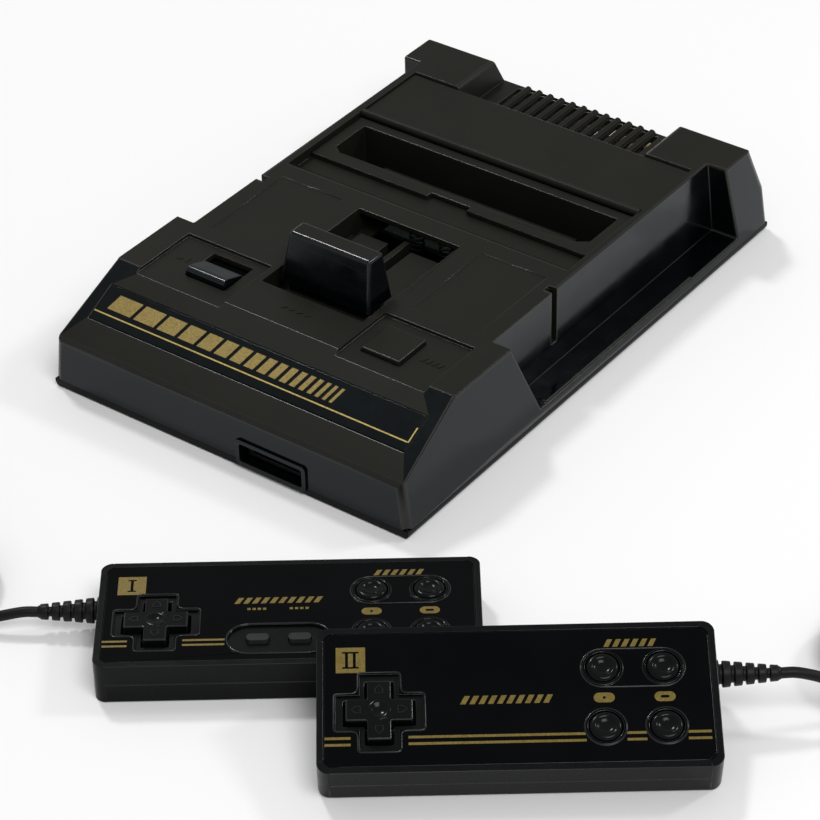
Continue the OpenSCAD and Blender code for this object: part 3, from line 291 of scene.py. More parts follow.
# a pad's own frame, found from where its cross rocks and its button goes down
def padFrame(pad):
    xAxis = np.array(joints[pad + "_dpad_rock_y"]["axis"], float)
    yAxis = np.array(joints[pad + "_dpad_rock_x"]["axis"], float)
    zAxis = -np.array(joints[pad + "_button_a_press"]["axis"], float)
    turn = np.stack([xAxis, yAxis, zAxis], axis=1)
    centre = np.array(joints[pad + "_dpad_rock_y"]["pos_m"], float) / mm
    return matrixFrom(xAxis, yAxis, zAxis, centre - turn @ crossCentre)


padFrames = {pad: padFrame(pad) for pad in ("pad1", "pad2")}
shellBox = [np.array(c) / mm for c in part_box("upper_shell")]
console = {"frontY": shellBox[0][1], "rearY": shellBox[1][1], "lipZ": 20.5, "slopeRun": 32.0,
           "deckZ": shellBox[1][2]}
slopeAngle = math.atan2(console["deckZ"] - console["lipZ"], console["slopeRun"])
slopeFrame = matrixFrom((1, 0, 0), (0, math.cos(slopeAngle), math.sin(slopeAngle)),
                        (0, -math.sin(slopeAngle), math.cos(slopeAngle)),
                        (0, console["frontY"], console["lipZ"]))


# points turned and shifted by a 4 x 4 place
def moved(points, place):
    points = np.asarray(points, float)
    return points @ place[:3, :3].T + place[:3, 3]


# smooth shading with sharp edges from the given angle on, the body that the piece rides on
# and the nodes that it stands for
def finishPiece(piece, body, material, sharpAngle, replaces=()):
    mesh = piece.data
    mesh.materials.clear()
    mesh.materials.append(material)
    mesh.polygons.foreach_set("use_smooth", [True] * len(mesh.polygons))
    mesh.set_sharp_from_angle(angle=math.radians(sharpAngle))
    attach(piece, body)
    if replaces:
        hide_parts(*replaces)
    return piece


# points are in millimetres; doubles are merged and the normals face outwards
def meshPiece(name, points, faces, place=None):
    points = np.asarray(points, float)
    if place is not None:
        points = moved(points, place)
    mesh = bpy.data.meshes.new(name)
    mesh.from_pydata((points * mm).tolist(), [], [list(map(int, f)) for f in faces])
    work = bmesh.new()
    work.from_mesh(mesh)
    bmesh.ops.remove_doubles(work, verts=work.verts, dist=2e-7)
    bmesh.ops.recalc_face_normals(work, faces=work.faces)
    work.to_mesh(mesh)
    work.free()
    piece = bpy.data.objects.new(name, mesh)
    bpy.context.scene.collection.objects.link(piece)
    return piece


# quads between the rows of a grid of points, closed round each row
def gridFaces(rows, columns):
    i, j = np.meshgrid(np.arange(rows - 1), np.arange(columns), indexing="ij")
    k = (j + 1) % columns
    return np.stack([i * columns + j, i * columns + k, (i + 1) * columns + k, (i + 1) * columns + j],
                    axis=-1).reshape(-1, 4)


# each inner corner of a line is swapped for a quadratic arc that starts and ends `radius` from it
def softCorners(points, radius, steps=5, closed=False):
    points = np.asarray(points, float)
    count = len(points)
    t = np.linspace(0, 1, steps)[:, None]
    out = []
    for i in range(count):
        if not closed and i in (0, count - 1):
            out.append(points[i][None])
            continue
        corner, before, after = points[i], points[i - 1], points[(i + 1) % count]
        first, second = before - corner, after - corner
        r = min(radius, 0.45 * np.linalg.norm(first), 0.45 * np.linalg.norm(second))
        a = corner + first / np.linalg.norm(first) * r
        b = corner + second / np.linalg.norm(second) * r
        out.append((1 - t) ** 2 * a + 2 * t * (1 - t) * corner + t ** 2 * b)
    return np.concatenate(out)


# surface of revolution: (r, z) of the profile turned about z, x = r cos a, y = r sin a
def lathe(name, profile, place, segments=56):
    profile = np.asarray(profile, float)
    a = np.linspace(0, 2 * np.pi, segments, endpoint=False)
    r, z = profile[:, 0][:, None], profile[:, 1][:, None]
    points = np.stack([r * np.cos(a), r * np.sin(a), z + 0 * a], axis=-1).reshape(-1, 3)
    return meshPiece(name, points, gridFaces(len(profile), segments), place)


# flat tiles: each outline is drawn at z0 and z1 and walled round
def tiles(name, outlines, z0, z1, place):
    points, faces, start = [], [], 0
    for outline in outlines:
        outline = np.asarray(outline, float)
        n = len(outline)
        for z in (z0, z1):
            points.append(np.column_stack([outline, np.full(n, z)]))
        ring = np.arange(n)
        faces += [list(start + ring[::-1]), list(start + n + ring)]
        faces += (gridFaces(2, n) + start).tolist()
        start += 2 * n
    return meshPiece(name, np.concatenate(points), faces, place)


# a closed ring between an outline and its inset copy, from z0 up to z1
def ridge(outline, inset, z0, z1):
    outline = np.asarray(outline, float)
    centre = outline.mean(axis=0)
    inner = centre + (outline - centre) * (1 - inset / np.linalg.norm(outline - centre, axis=1)[:, None])
    rings = [(outline, z0), (outline, z1), (inner, z1), (inner, z0)]
    points = np.concatenate([np.column_stack([ring, np.full(len(ring), z)]) for ring, z in rings])
    n = len(outline)
    under = gridFaces(2, n)[:, ::-1]
    return points, np.concatenate([gridFaces(4, n), under + np.where(under >= n, 2 * n, 0)])


# two half circles of radius width / 2 whose ends are joined by straight lines
def stadium(x, y, length, width, steps=12):
    r = width / 2
    a = np.linspace(-np.pi / 2, np.pi / 2, steps)
    right = np.column_stack([x + length / 2 - r + r * np.cos(a), y + r * np.sin(a)])
    left = np.column_stack([x - length / 2 + r - r * np.cos(a), y - r * np.sin(a)])
    return np.concatenate([right, left])


# rectangle whose top is pushed to the right by lean * height
def slantedBar(x, y, length, height, lean=0.28):
    shift = lean * height / 2
    return np.array([[x - length / 2 - shift, y - height / 2], [x + length / 2 - shift, y - height / 2],
                     [x + length / 2 + shift, y + height / 2], [x - length / 2 + shift, y + height / 2]])


def rectangle(x, y, length, width):
    return slantedBar(x, y, length, width, 0)


# when an edge counts: lengths and least radius in millimetres, angles in degrees, and the share of a
# neighbouring edge that a radius may take
skinRules = {"mergeBelow": 2e-6, "flatBelow": 0.8, "sharpFrom": 24, "smoothBelow": 38, "shortest": 0.6,
             "share": 0.42, "least": 0.04, "evenWeight": 80}


# copy of a CAD node with merged faces, whose long edges are rounded by a bevel;
# widthAt(middle, direction, angle, convex) gives each edge's radius in millimetres, and the optional edge
# finish goes on the rounded edges, where a colour lighter than the faces paints a highlight along them
def roundedCopy(node, widthAt, material, slot, segments=3, faceRule=None, materials=(), strip=None):
    body = frame["nodes"][node]["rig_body"]
    work = bmesh.new()
    work.from_mesh(frame["nodes"][node].data)
    bmesh.ops.remove_doubles(work, verts=work.verts, dist=skinRules["mergeBelow"])
    bmesh.ops.dissolve_limit(work, angle_limit=math.radians(skinRules["flatBelow"]), verts=work.verts,
                             edges=work.edges)
    bmesh.ops.triangulate(work, faces=[f for f in work.faces if len(f.verts) > 4])
    weights = work.edges.layers.float.new("bevel_weight_edge")
    widths = {}
    for edge in work.edges:
        if len(edge.link_faces) != 2:
            continue
        angle = math.degrees(edge.calc_face_angle(0))
        if angle < skinRules["sharpFrom"]:
            continue
        middle = (edge.verts[0].co + edge.verts[1].co) / (2 * mm)
        along = (edge.verts[1].co - edge.verts[0].co).normalized()
        length = edge.calc_length() / mm
        width = widthAt(middle, along, angle, edge.is_convex) if length > skinRules["shortest"] else 0
        room = [other.calc_length() / mm for v in edge.verts for other in v.link_edges
                if other is not edge and other.calc_face_angle(0) > 0.2]
        width = min([width] + [skinRules["share"] * r for r in [length] + room])
        if width > skinRules["least"]:
            widths[edge] = width
        else:
            edge.smooth = angle < skinRules["smoothBelow"]
    widest = max(widths.values(), default=0)
    for edge, width in widths.items():
        edge[weights] = width / widest
    mesh = bpy.data.meshes.new(node + "_skin")
    work.to_mesh(mesh)
    work.free()
    piece = bpy.data.objects.new(node + "_skin", mesh)
    bpy.context.scene.collection.objects.link(piece)
    mesh.materials.append(material)
    for extra in (*materials, *([strip] if strip else [])):
        mesh.materials.append(extra)
    mesh.polygons.foreach_set("use_smooth", [True] * len(mesh.polygons))
    if faceRule:
        mesh.polygons.foreach_set("material_index",
                                  [faceRule(p.center / mm, p.normal) for p in mesh.polygons])
    if widest:
        bevel = piece.modifiers.new("round", "BEVEL")
        bevel.limit_method = "WEIGHT"
        bevel.width = widest * mm
        bevel.segments = segments
        bevel.use_clamp_overlap = False
        bevel.miter_outer = "MITER_ARC"
        if strip:
            bevel.material = len(mesh.materials) - 1
        even = piece.modifiers.new("even", "WEIGHTED_NORMAL")
        even.keep_sharp = True
        even.weight = skinRules["evenWeight"]
    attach(piece, body)
    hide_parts(node)
    return piece


# the same radius for every edge
def evenWidth(width):
    return lambda middle, along, angle, convex: width


cordSizes = {
    "diameter": 3.4,
    "coilMiddle": 19.0,
    "routes": {
        "pad1": {"route": [(-4, -221.5, 5.2), (-10, -226, 3), (-15.5, -230, 1.9), (-20, -233.2, 1.7)],
                 "coil": (-38, -218), "turn": -1, "start": -53.13, "leave": 215 - 8 * 360,
                 "tail": [(-59.8, -226, 8.5), (-62.6, -222, 8.5), (-65.5, -217.8, 7.5)], "side": -1},
        "pad2": {"route": [(226, -109, 15), (231, -105.2, 10.6), (236, -101.4, 5.8), (241, -97.6, 2.6)],
                 "coil": (234, -75), "turn": 1, "start": -53.13, "leave": 30 + 7 * 360,
                 "tail": [(250.4, -58.6, 8.5), (248, -54.4, 8.5), (245.4, -49.9, 7.5)], "side": 1},
    },
}


# smooth line through the points, by Catmull-Rom pieces cut evenly
def throughPoints(points, steps):
    points = np.asarray(points, float)
    ends = np.concatenate([[2 * points[0] - points[1]], points, [2 * points[-1] - points[-2]]])
    t = np.linspace(0, 1, steps, endpoint=False)[:, None]
    runs = []
    for a, b, c, d in zip(ends[:-3], ends[1:-2], ends[2:-1], ends[3:]):
        runs.append(0.5 * (2 * b + (c - a) * t + (2 * a - 5 * b + 4 * c - d) * t ** 2
                           + (3 * b - a - 3 * c + d) * t ** 3))
    return np.concatenate(runs + [points[-1][None]])


# turns of a coil: places in its section are taken one after another, and the step from one
# to the next comes a little earlier on every turn, so that no two turns meet
def coilTurns(cord, perTurn=30):
    d = cordSizes["diameter"]
    places = np.array([(1, 0), (0, 0), (-1, 0), (-1, 1), (-1, 2), (0, 2), (0, 1), (1, 1), (1, 2)], float)
    total = abs(cord["leave"] - cord["start"])
    first, period, length = 255.0, (total - 330.0 + 25 - 255.0) / 7, 35.0
    swept = np.linspace(0, total, int(perTurn * total / 360) + 1)
    stage = np.clip((swept[:, None] - (first + period * np.arange(8))) / length, 0, 1)
    stage = stage * stage * (3 - 2 * stage)
    spot = places[0] + (stage[:, :, None] * np.diff(places, axis=0)).sum(axis=1)
    radius = cordSizes["coilMiddle"] + d * spot[:, 0]
    angle = np.radians(cord["start"] + cord["turn"] * swept)
    x = cord["coil"][0] + radius * np.cos(angle)
    y = cord["coil"][1] + radius * np.sin(angle)
    return np.column_stack([x, y, d * (0.5 + spot[:, 1])])


def lineLength(points):
    return float(np.linalg.norm(np.diff(points, axis=0), axis=1).sum())


# lead of one pad: straight out of the boot, down to the table, round the coil and up to the plug
def makeCord(pad):
    cord = cordSizes["routes"][pad]
    out = padFrames[pad][:3, 0] * cord["side"]
    exitPoint = moved([[cord["side"] * 78.5, 10.3, 7]], padFrames[pad])[0]
    coil = coilTurns(cord)
    lead = [exitPoint - out * 1.5, exitPoint, exitPoint + out * 5] + [np.array(p) for p in cord["route"]]
    run = throughPoints(lead + [coil[0]], 5)
    plug = np.array(cord["tail"][-1])
    tail = throughPoints([coil[-1]] + [np.array(p) for p in cord["tail"]] + [
        plug + (plug - np.array(cord["tail"][-2])) * 0.3], 4)
    points = np.concatenate([run[:-1], coil, tail[1:]]) * mm
    curve = bpy.data.curves.new(pad + "_lead", "CURVE")
    curve.dimensions = "3D"
    curve.bevel_depth = cordSizes["diameter"] / 2 * mm
    curve.bevel_resolution = 5
    curve.use_fill_caps = True
    spline = curve.splines.new("POLY")
    spline.points.add(len(points) - 1)
    spline.points.foreach_set("co", np.column_stack([points, np.ones(len(points))]).ravel())
    spline.use_smooth = True
    piece = bpy.data.objects.new(pad + "_lead", curve)
    bpy.context.scene.collection.objects.link(piece)
    curve.materials.append(finishes["cordVinyl"])
    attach(piece, pad)
    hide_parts(pad + "_cord", pad + "_cord_coil")
    return piece, exitPoint * mm, lineLength(points)


# ribs that shrink towards the cord; the slots between them are cut a third deep
def cordBoot(pad):
    side = cordSizes["routes"][pad]["side"]
    step, first, count = 3.55, 2.6, 5
    profile = [(0, 0), (2.6, 0), (2.6, 1.9), (4.25, 1.9), (4.25, first)]
    for i in range(count):
        z = first + i * step
        r = 4.15 - 0.36 * i
        profile += [(r - 1.15, z), (r - 1.15, z + 1.1), (r - 0.1, z + 1.1), (r - 0.3, z + step)]
    profile += [(2.15, first + count * step), (1.95, 21.0), (1.75, 21.2), (0, 21.2)]
    profile = softCorners(profile, 0.35, 4)
    turn = matrixFrom((0, side, 0), (0, 0, 1), (side, 0, 0), (side * 57.2, 10.3, 7))
    boot = lathe(pad + "_boot", profile, padFrames[pad] @ turn, 40)
    return finishPiece(boot, pad, finishes["cordVinyl"], 50, (pad + "_strain_relief",))


# the plug's steep outer edges are rounded most
def plugWidths(middle, along, angle, convex):
    return 0.9 if angle > 60 and convex else 0.3


for pad in ("pad1", "pad2"):
    lead, leadExit, leadLength = makeCord(pad)
    cordBoot(pad)
    hood = roundedCopy(pad + "_plug", plugWidths, finishes["cordVinyl"], "cord_plastic")
    print(pad, "cord is", round(leadLength, 3), "m long")


# edge radii of the upper shell: the crease where the deck meets the slope is tight, the outer rims and
# the shoulders are soft, the four upright corners are softest, and the foot stays sharp
shellRadii = {"crease": 0.12, "rim": 1.1, "deck": 0.35, "lip": 1.6, "corner": 2.6, "side": 0.9,
              "outside": 0.45, "inside": 0.3}
shellPlaces = {"creaseRun": 31, "creaseReach": 2.2, "creaseZ": 33, "deckZ": 36.2, "rimX": 61, "rimY": 100,
               "shoulderX": 40, "shoulderY": 79, "sideX": 69, "cornerFront": 8, "cornerRear": 9,
               "footZ": 3.2, "glossX": 62.8}


def shellWidths(middle, along, angle, convex):
    x, y, z = abs(middle[0]), middle[1], middle[2]
    at, radius = shellPlaces, shellRadii
    front, rear = y - console["frontY"], console["rearY"] - y
    creased = abs(front - at["creaseRun"]) < at["creaseReach"] and z > at["creaseZ"]
    if convex and abs(along[0]) > 0.9 and creased:
        return radius["crease"]
    if z > at["deckZ"] and abs(along[2]) < 0.1:
        shoulder = y > at["shoulderY"] and x > at["shoulderX"]
        return radius["rim"] if x > at["rimX"] or y > at["rimY"] or shoulder else radius["deck"]
    if abs(z - console["lipZ"]) < 0.6 and front < 1:
        return radius["lip"]
    if abs(along[2]) > 0.6 and x > at["sideX"] and (front < at["cornerFront"] or rear < at["cornerRear"]):
        return radius["corner"]
    if z < at["footZ"]:
        return 0
    if x > at["sideX"]:
        return radius["side"]
    return radius["outside" if convex else "inside"]


# the shell is glossy on its sides, its front lip and its back wall
def shellFaces(centre, normal):
    x, y, z = centre
    side = abs(x) > shellPlaces["glossX"] and z < shellPlaces["deckZ"]
    front = y < console["frontY"] + 0.8 and z < console["lipZ"]
    back = y > console["rearY"] - 8 and normal[1] > 0.5
    return int(side or front or back)


# the lever is glossy, and its top has the deck's finish
def leverFaces(centre, normal):
    return int(normal[2] > 0.9 and centre[2] > 50)


def jackPanelWidths(middle, along, angle, convex):
    return 0.3 if middle[1] > console["rearY"] - 1.5 else 0


def leverWidths(middle, along, angle, convex):
    return 1.1 if middle[2] > 36 else 0.3


def knobWidths(middle, along, angle, convex):
    return 0.45 if middle[2] > 35.4 else 0.1


# the deck and bright skins put the lighter edge finishes on their rounded edges: painted highlights
deckSkin = {"material": finishes["deckPlastic"], "slot": "deck_plastic", "strip": finishes["deckEdgeHighlight"]}
glossSkin = {"material": finishes["glossPlastic"], "slot": "gloss_plastic"}
brightSkin = {**glossSkin, "strip": finishes["glossEdgeHighlight"]}
baseSkin = {"material": finishes["basePlastic"], "slot": "base_plastic"}
roundedCopy("jack_panel", jackPanelWidths, finishes["glossPlastic"], "deck_plastic")
roundedCopy("upper_shell", shellWidths, **deckSkin, segments=4, faceRule=shellFaces,
            materials=[finishes["glossPlastic"]])
roundedCopy("lower_shell", evenWidth(0.45), **baseSkin)
roundedCopy("slot_frame", evenWidth(0.4), **deckSkin)
roundedCopy("cartridge_flap", evenWidth(0.5), **deckSkin)
roundedCopy("name_plate", evenWidth(0.2), **glossSkin)
roundedCopy("port_bezel", evenWidth(0.4), **glossSkin)
roundedCopy("eject_lever", leverWidths, **brightSkin, segments=5, faceRule=leverFaces,
            materials=[finishes["deckPlastic"]])
roundedCopy("eject_slider", evenWidth(0.25), **deckSkin)
roundedCopy("ejector_fork", evenWidth(0.3), **baseSkin)
roundedCopy("power_knob", knobWidths, **brightSkin, segments=4)
roundedCopy("reset_button", evenWidth(0.5), **deckSkin)
roundedCopy("channel_knob", evenWidth(0.25), **baseSkin)
print("console shells rounded")


# gold on the name plate: a line that turns up at its right end, and a row of slanted stripes that
# grow thinner to the right, width = first * shrink ^ n
plateStripes = {"start": -61.5, "first": 10.0, "shrink": 0.875, "gap": 1.5, "count": 17, "middle": 20.3,
                "height": 6.2}


def plateGold(s):
    z0, z1 = -0.12, -0.06
    line = [rectangle(-0.4, 15.0, 132.0, 0.5), rectangle(65.8, 17.9, 0.5, 5.9)]
    gold = tiles("plate_line", line, z0, z1, slopeFrame)
    finishPiece(gold, "console", finishes["goldLine"], 30)
    stripes, x = [], s["start"]
    for n in range(s["count"]):
        width = s["first"] * s["shrink"] ** n
        stripes.append(slantedBar(x + width / 2, s["middle"], width, s["height"]))
        x += width + s["gap"]
    gold = tiles("plate_stripes", stripes, z0, z1, slopeFrame)
    finishPiece(gold, "console", finishes["goldPrint"], 30)
    print("plate stripes reach", round(x, 1))


plateGold(plateStripes)


# raised marks in the deck's own black: a disc, a bar and slanted bars in the trays, arrows by
# the lever
def deckMarks():
    top = console["deckZ"]
    flat = np.eye(4)
    marks = [stadium(-54.6, -65.8, 2.6, 2.6), rectangle(-51.2, -65.8, 0.8, 2.6)]
    marks += [slantedBar(50 + 2.2 * i, -67.4, 1.2, 2.4) for i in range(4)]
    raised = tiles("tray_marks", marks, top - 1.25, top - 1.0, flat)
    finishPiece(raised, "console", finishes["deckPlastic"], 30)
    arrows = [np.array([[x, -71.6], [x + 1.8, -70.2], [x, -68.8]]) for x in (-6, -2.8, 0.4, 3.6)]
    raised = tiles("lever_marks", arrows, top - 0.05, top + 0.2, flat)
    finishPiece(raised, "console", finishes["deckPlastic"], 30)


deckMarks()
print("console marks made")


# the eject springs take the near-black wire finish, a painted shade
plainNodes = {
    "main_board": "circuitBoard", "hinge_pin": "steel", "eject_springs": "shadedSpringWire",
    "board_screws": "steel", "case_screws": "steel", "board_chips": "connectorPlastic",
}
roundedNodes = {
    "cartridge_connector": ("connectorPlastic", "connector_plastic", 0.3),
    "rf_modulator": ("tinPlate", "tin_plate", 0.4),
    "heatsink": ("aluminium", "aluminium", 0.15),
    "expansion_connector": ("connectorPlastic", "connector_plastic", 0.25),
    "pad_sockets": ("tinPlate", "tin_plate", 0.3),
    "rear_jacks": ("brass", "jack_metal", 0.2),
    "panel_switches": ("connectorPlastic", "connector_plastic", 0.25),
}


def dress(node, finish):
    piece = frame["nodes"][node]
    if not piece.material_slots:
        piece.data.materials.append(finishes[finish])
    for place in piece.material_slots:
        place.material = finishes[finish]


for node, finish in plainNodes.items():
    dress(node, finish)
for node, (finish, slot, width) in roundedNodes.items():
    roundedCopy(node, evenWidth(width), finishes[finish], slot)
print("inner pieces dressed")


padSizes = {
    "faceTop": 13.9, "crossTop": 15.4,
    "buttons": {"button_a": (43, -10.8), "button_b": (25.2, -10.8),
                "turbo_a": (43, 9.1), "turbo_b": (25.2, 9.1)},
    "keys": ("select", "start"),
}


# a place of the frame in the pad's own millimetres
def inPad(pad, place):
    turn = padFrames[pad]
    return turn[:3, :3].T @ (np.array(place) - turn[:3, 3])


# edge radii of the two shells: a soft outer rim at the top and the foot, tight edges elsewhere
padRim = {"endX": 57.5, "sideY": 23.2, "topZ": 13.8, "footZ": 0.2, "rim": 1.15, "detail": 0.25}


def padShellWidths(pad):
    def widths(middle, along, angle, convex):
        x, y, z = inPad(pad, middle)
        outside = abs(x) > padRim["endX"] or abs(y) > padRim["sideY"]
        return padRim["rim" if outside and (z > padRim["topZ"] or z < padRim["footZ"]) else "detail"]
    return widths


# the cross keeps its middle dish unrounded, because its facets are shorter than a bevel
def crossWidths(pad):
    def widths(middle, along, angle, convex):
        x, y, z = inPad(pad, middle)
        return 0.45 if math.hypot(x - crossCentre[0], y - crossCentre[1]) > 4.5 else 0
    return widths


# round cap: a domed rim with a shallow dish in the middle, on a flange and a short foot
def roundButton(pad, name, centre):
    x, y = centre
    crown = [(0, 14.05), (1.6, 14.12), (2.5, 14.45), (3.0, 14.86), (3.5, 15.0), (4.1, 14.93),
             (4.62, 14.55), (4.95, 13.85)]
    profile = crown + [(4.95, 11.25), (6.2, 11.2), (6.2, 9.9), (3.2, 9.9), (3.2, 9.0), (0, 9.0)]
    place = padFrames[pad] @ matrixFrom((1, 0, 0), (0, 1, 0), (0, 0, 1), (x, y, 0))
    cap = lathe(pad + "_" + name + "_cap", softCorners(profile, 0.3, 4), place, 56)
    return finishPiece(cap, pad + "_" + name, finishes["buttonPlastic"], 50,
                       (pad + "_" + name,))


# arrows on the cross: a thin ridge round a house-shaped outline on each arm, in the lighter edge finish
# that paints a highlight on it
def crossArrows(pad):
    house = np.array([[-1.25, -1.2], [1.25, -1.2], [1.25, 0.4], [0, 1.75], [-1.25, 0.4]])
    top = padSizes["crossTop"]
    points, faces, start = [], [], 0
    for quarter in range(4):
        a = quarter * math.pi / 2
        turn = np.array([[math.cos(a), -math.sin(a)], [math.sin(a), math.cos(a)]])
        outline = (house + [0, 6.6]) @ turn.T + crossCentre[:2]
        ring, ringFaces = ridge(outline, 0.34, top - 0.1, top + 0.16)
        points.append(ring)
        faces.append(ringFaces + start)
        start += len(ring)
    arrows = meshPiece(pad + "_cross_arrows", np.concatenate(points), np.concatenate(faces),
                       padFrames[pad])
    return finishPiece(arrows, pad + "_cross", finishes["padEdgeHighlight"], 30)


# smooth dish in the middle of the cross: a soft lip round a shallow bowl
def crossDish(pad):
    top = padSizes["crossTop"]
    profile = [(0, top - 0.5), (0.9, top - 0.44), (1.8, top - 0.18), (2.4, top + 0.1), (2.85, top + 0.18),
               (3.3, top + 0.08), (3.5, top - 0.15), (3.5, top - 0.7), (0, top - 0.7)]
    place = padFrames[pad] @ matrixFrom((1, 0, 0), (0, 1, 0), (0, 0, 1), (*crossCentre[:2], 0))
    dish = lathe(pad + "_cross_dish", softCorners(profile, 0.4, 4), place, 48)
    return finishPiece(dish, pad + "_cross", finishes["buttonPlastic"], 50)


# print on the faces: stripes with gaps where the cross, the keys and the buttons are, a numbered
# square, pills between the buttons, and rows of small marks
padPrint = {
    "pad1": {"runs": [(-56.6, -49.0), (-32.2, -19.4), (12.2, 19.4), (31.2, 37.0), (49.0, 55.8)],
             "labelY": 5.2, "strokes": (0,), "serif": 2.6},
    "pad2": {"runs": [(-56.6, -49.0), (-32.2, 19.4), (31.2, 37.0), (49.0, 55.8)],
             "labelY": -0.9, "strokes": (-1.15, 1.15), "serif": 4.9},
    "stripeY": (-12.9, -15.1), "stripe": 0.85, "pillX": (25.2, 43.0), "pillY": -0.95,
    "square": (-48.9, 13.5), "squareSide": 8.7, "below": 0.02, "thickness": 0.035,
}


def facePrint(pad, hasKeys):
    s, own = padPrint, padPrint[pad]
    z0, z1 = padSizes["faceTop"] - s["below"], padSizes["faceTop"] + s["thickness"]
    x, y = s["square"]
    gold = [rectangle((a + b) / 2, stripeY, b - a, s["stripe"]) for a, b in own["runs"]
            for stripeY in s["stripeY"]]
    gold += [stadium(pillX, s["pillY"], 6.2, 3.3) for pillX in s["pillX"]]
    gold.append(rectangle(x, y, s["squareSide"], s["squareSide"]))
    gold += [slantedBar(27.2 + 2.6 * i, 17.6, 1.5, 2.6, 0.5) for i in range(6)]
    gold += [slantedBar(-15.5 + 2.7 * i, own["labelY"], 1.6, 2.8, 0.5) for i in range(10)]
    if hasKeys:
        gold += [rectangle(markX + 1.6 * i, 1.2, 1.0, 1.0) for markX in (-12.4, 0.6) for i in range(4)]
    goldTiles = tiles(pad + "_gold_print", gold, z0, z1, padFrames[pad])
    finishPiece(goldTiles, pad, finishes["padGold"], 30)
    dark = [rectangle(x + dx, y, 0.85, 5.2) for dx in own["strokes"]]
    dark += [rectangle(x, y + dy, own["serif"], 0.55) for dy in (-2.6, 2.6)]
    dark += [stadium(pillX, s["pillY"], 0.9 if pillX < 30 else 2.6, 0.9) for pillX in s["pillX"]]
    darkTiles = tiles(pad + "_dark_print", dark, z1 - 0.02, z1 + 0.025, padFrames[pad])
    finishPiece(darkTiles, pad, finishes["facePlastic"], 30)


# outline of a plus sign with soft corners
def crossOutline(centre, span, arm, radius):
    s, a = span / 2, arm / 2
    corners = [(a, s), (-a, s), (-a, a), (-s, a), (-s, -a), (-a, -a), (-a, -s), (a, -s), (a, -a), (s, -a),
               (s, a), (a, a)]
    return softCorners(np.array(corners) + centre, radius, 5, True)


# raised lips on the face: a low arched bead along each outline, drawn inwards from it, in the lighter
# edge finish that paints a highlight on it
lipSection = [(0, -0.02), (0.08, 0.24), (0.3, 0.34), (0.52, 0.24), (0.6, -0.02)]


def faceLips(pad, hasKeys):
    outlines = [stadium(34.1, 9.1, 31.4, 13.6, 20)[::-1], crossOutline(crossCentre[:2], 27.4, 13.3, 1.6)]
    outlines += [stadium(*padSizes["buttons"][name], 12.9, 12.9, 20)[::-1]
                 for name in ("button_a", "button_b")]
    if hasKeys:
        outlines.append(stadium(-3.0, -12.8, 32.4, 14.4, 20)[::-1])
    points, faces, start = [], [], 0
    for outline in outlines:
        along = np.roll(outline, -1, axis=0) - np.roll(outline, 1, axis=0)
        inward = np.column_stack([-along[:, 1], along[:, 0]]) / np.linalg.norm(along, axis=1)[:, None]
        inward *= np.sign(((outline.mean(axis=0) - outline) * inward).sum())
        n, rows = len(outline), len(lipSection)
        for across, height in lipSection:
            points.append(np.column_stack([outline + inward * across,
                                           np.full(n, padSizes["faceTop"] + height)]))
        i = np.arange(n)
        under = np.stack([i, (i + 1) % n, (i + 1) % n + (rows - 1) * n, i + (rows - 1) * n], axis=-1)
        faces += [gridFaces(rows, n) + start, under + start]
        start += rows * n
    lips = meshPiece(pad + "_face_lips", np.concatenate(points), np.concatenate(faces), padFrames[pad])
    finishPiece(lips, pad, finishes["padEdgeHighlight"], 60)


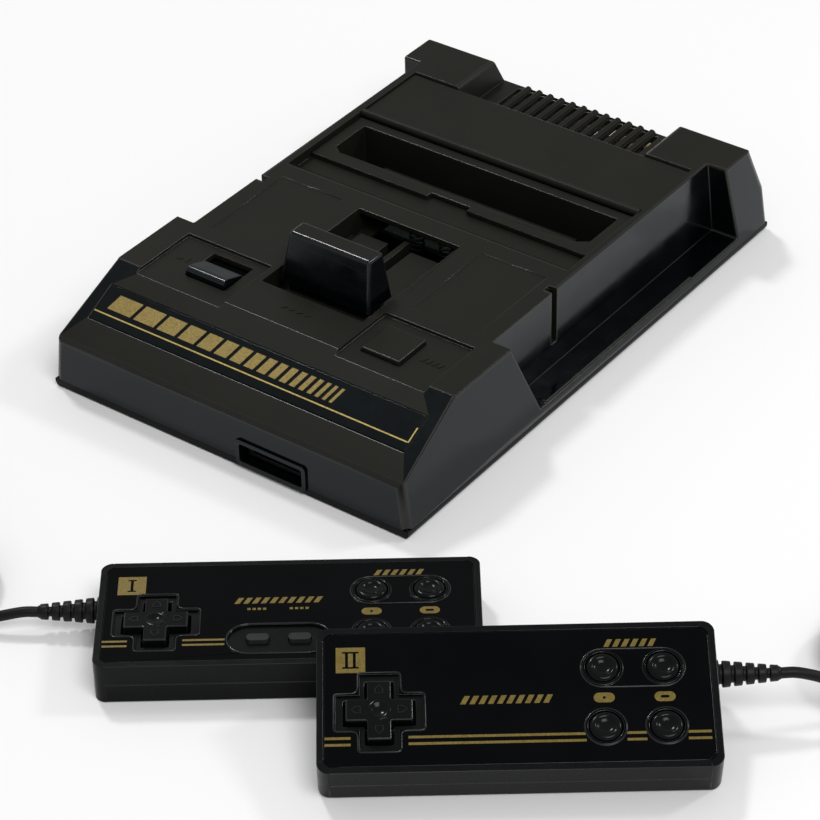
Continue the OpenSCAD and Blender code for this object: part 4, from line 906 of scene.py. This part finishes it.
def makePad(pad, hasKeys):
    # the lighter edge finish on the pads' rounded edges is a painted highlight
    edge = finishes["padEdgeHighlight"]
    for half in ("_top_shell", "_bottom_shell"):
        roundedCopy(pad + half, padShellWidths(pad), finishes["padPlastic"], "pad_plastic", 4, strip=edge)
    roundedCopy(pad + "_faceplate", evenWidth(0.16), finishes["facePlastic"], "faceplate", strip=edge)
    roundedCopy(pad + "_dpad", crossWidths(pad), finishes["buttonPlastic"], "button_plastic", strip=edge)
    crossArrows(pad)
    crossDish(pad)
    for name, centre in padSizes["buttons"].items():
        roundButton(pad, name, centre)
    facePrint(pad, hasKeys)
    faceLips(pad, hasKeys)
    if hasKeys:
        for name in padSizes["keys"]:
            roundedCopy(pad + "_" + name, evenWidth(0.3), finishes["greyRubber"], "key_rubber")
    dress(pad + "_board", "circuitBoard")
    dress(pad + "_mats", "greyRubber")
    dress(pad + "_dpad_pivot", "greyRubber")
    dress(pad + "_screws", "steel")
    print(pad, "made")


makePad("pad1", True)
makePad("pad2", False)


# pale floor a hair below the part, under an even white sky
stageSizes = {"floor": 6.0, "gap": 0.0003, "floorColour": (0.93, 0.93, 0.93), "sky": 0.40}


def makeStage(s):
    mesh = bpy.data.meshes.new("floor")
    h = s["floor"] / 2
    corners = [(x * h, y * h, -s["gap"]) for x, y in ((-1, -1), (1, -1), (1, 1), (-1, 1))]
    mesh.from_pydata(corners, [], [(0, 1, 2, 3)])
    floor = bpy.data.objects.new("floor", mesh)
    bpy.context.scene.collection.objects.link(floor)
    material, tree, shader, place = nodeTree("paleFloor")
    shader.inputs["Base Color"].default_value = (*s["floorColour"], 1)
    shader.inputs["Roughness"].default_value = 0.9
    shader.inputs["Specular IOR Level"].default_value = 0.1
    mesh.materials.append(material)
    world = bpy.data.worlds.new("sky")
    world.use_nodes = True
    world.node_tree.nodes["Background"].inputs["Color"].default_value = (1, 1, 1, 1)
    world.node_tree.nodes["Background"].inputs["Strength"].default_value = s["sky"]
    bpy.context.scene.world = world


# three soft square lamps, all aimed at the middle of the part; places and sizes in metres, power in watts
lampAim = Vector((0.05, -0.05, 0.02))
lamps = {
    "backLamp": {"place": (-0.88, 0.30, 1.50), "size": (0.22, 0.22), "power": 9},
    "rightLamp": {"place": (0.85, 0.95, 1.15), "size": (0.25, 0.25), "power": 5},
    "frontLamp": {"place": (0.95, -0.60, 1.50), "size": (0.80, 0.80), "power": 14},
}


def makeLamps():
    for name, s in lamps.items():
        data = bpy.data.lights.new(name, "AREA")
        data.shape = "RECTANGLE"
        data.size, data.size_y = s["size"]
        data.energy = s["power"]
        lamp = bpy.data.objects.new(name, data)
        bpy.context.scene.collection.objects.link(lamp)
        turn = (lampAim - Vector(s["place"])).to_track_quat("-Z", "Y").to_matrix().to_4x4()
        lamp.matrix_world = Matrix.Translation(s["place"]) @ turn


makeStage(stageSizes)
makeLamps()
bpy.context.scene.view_settings.view_transform = "Standard"
print("scene ready")
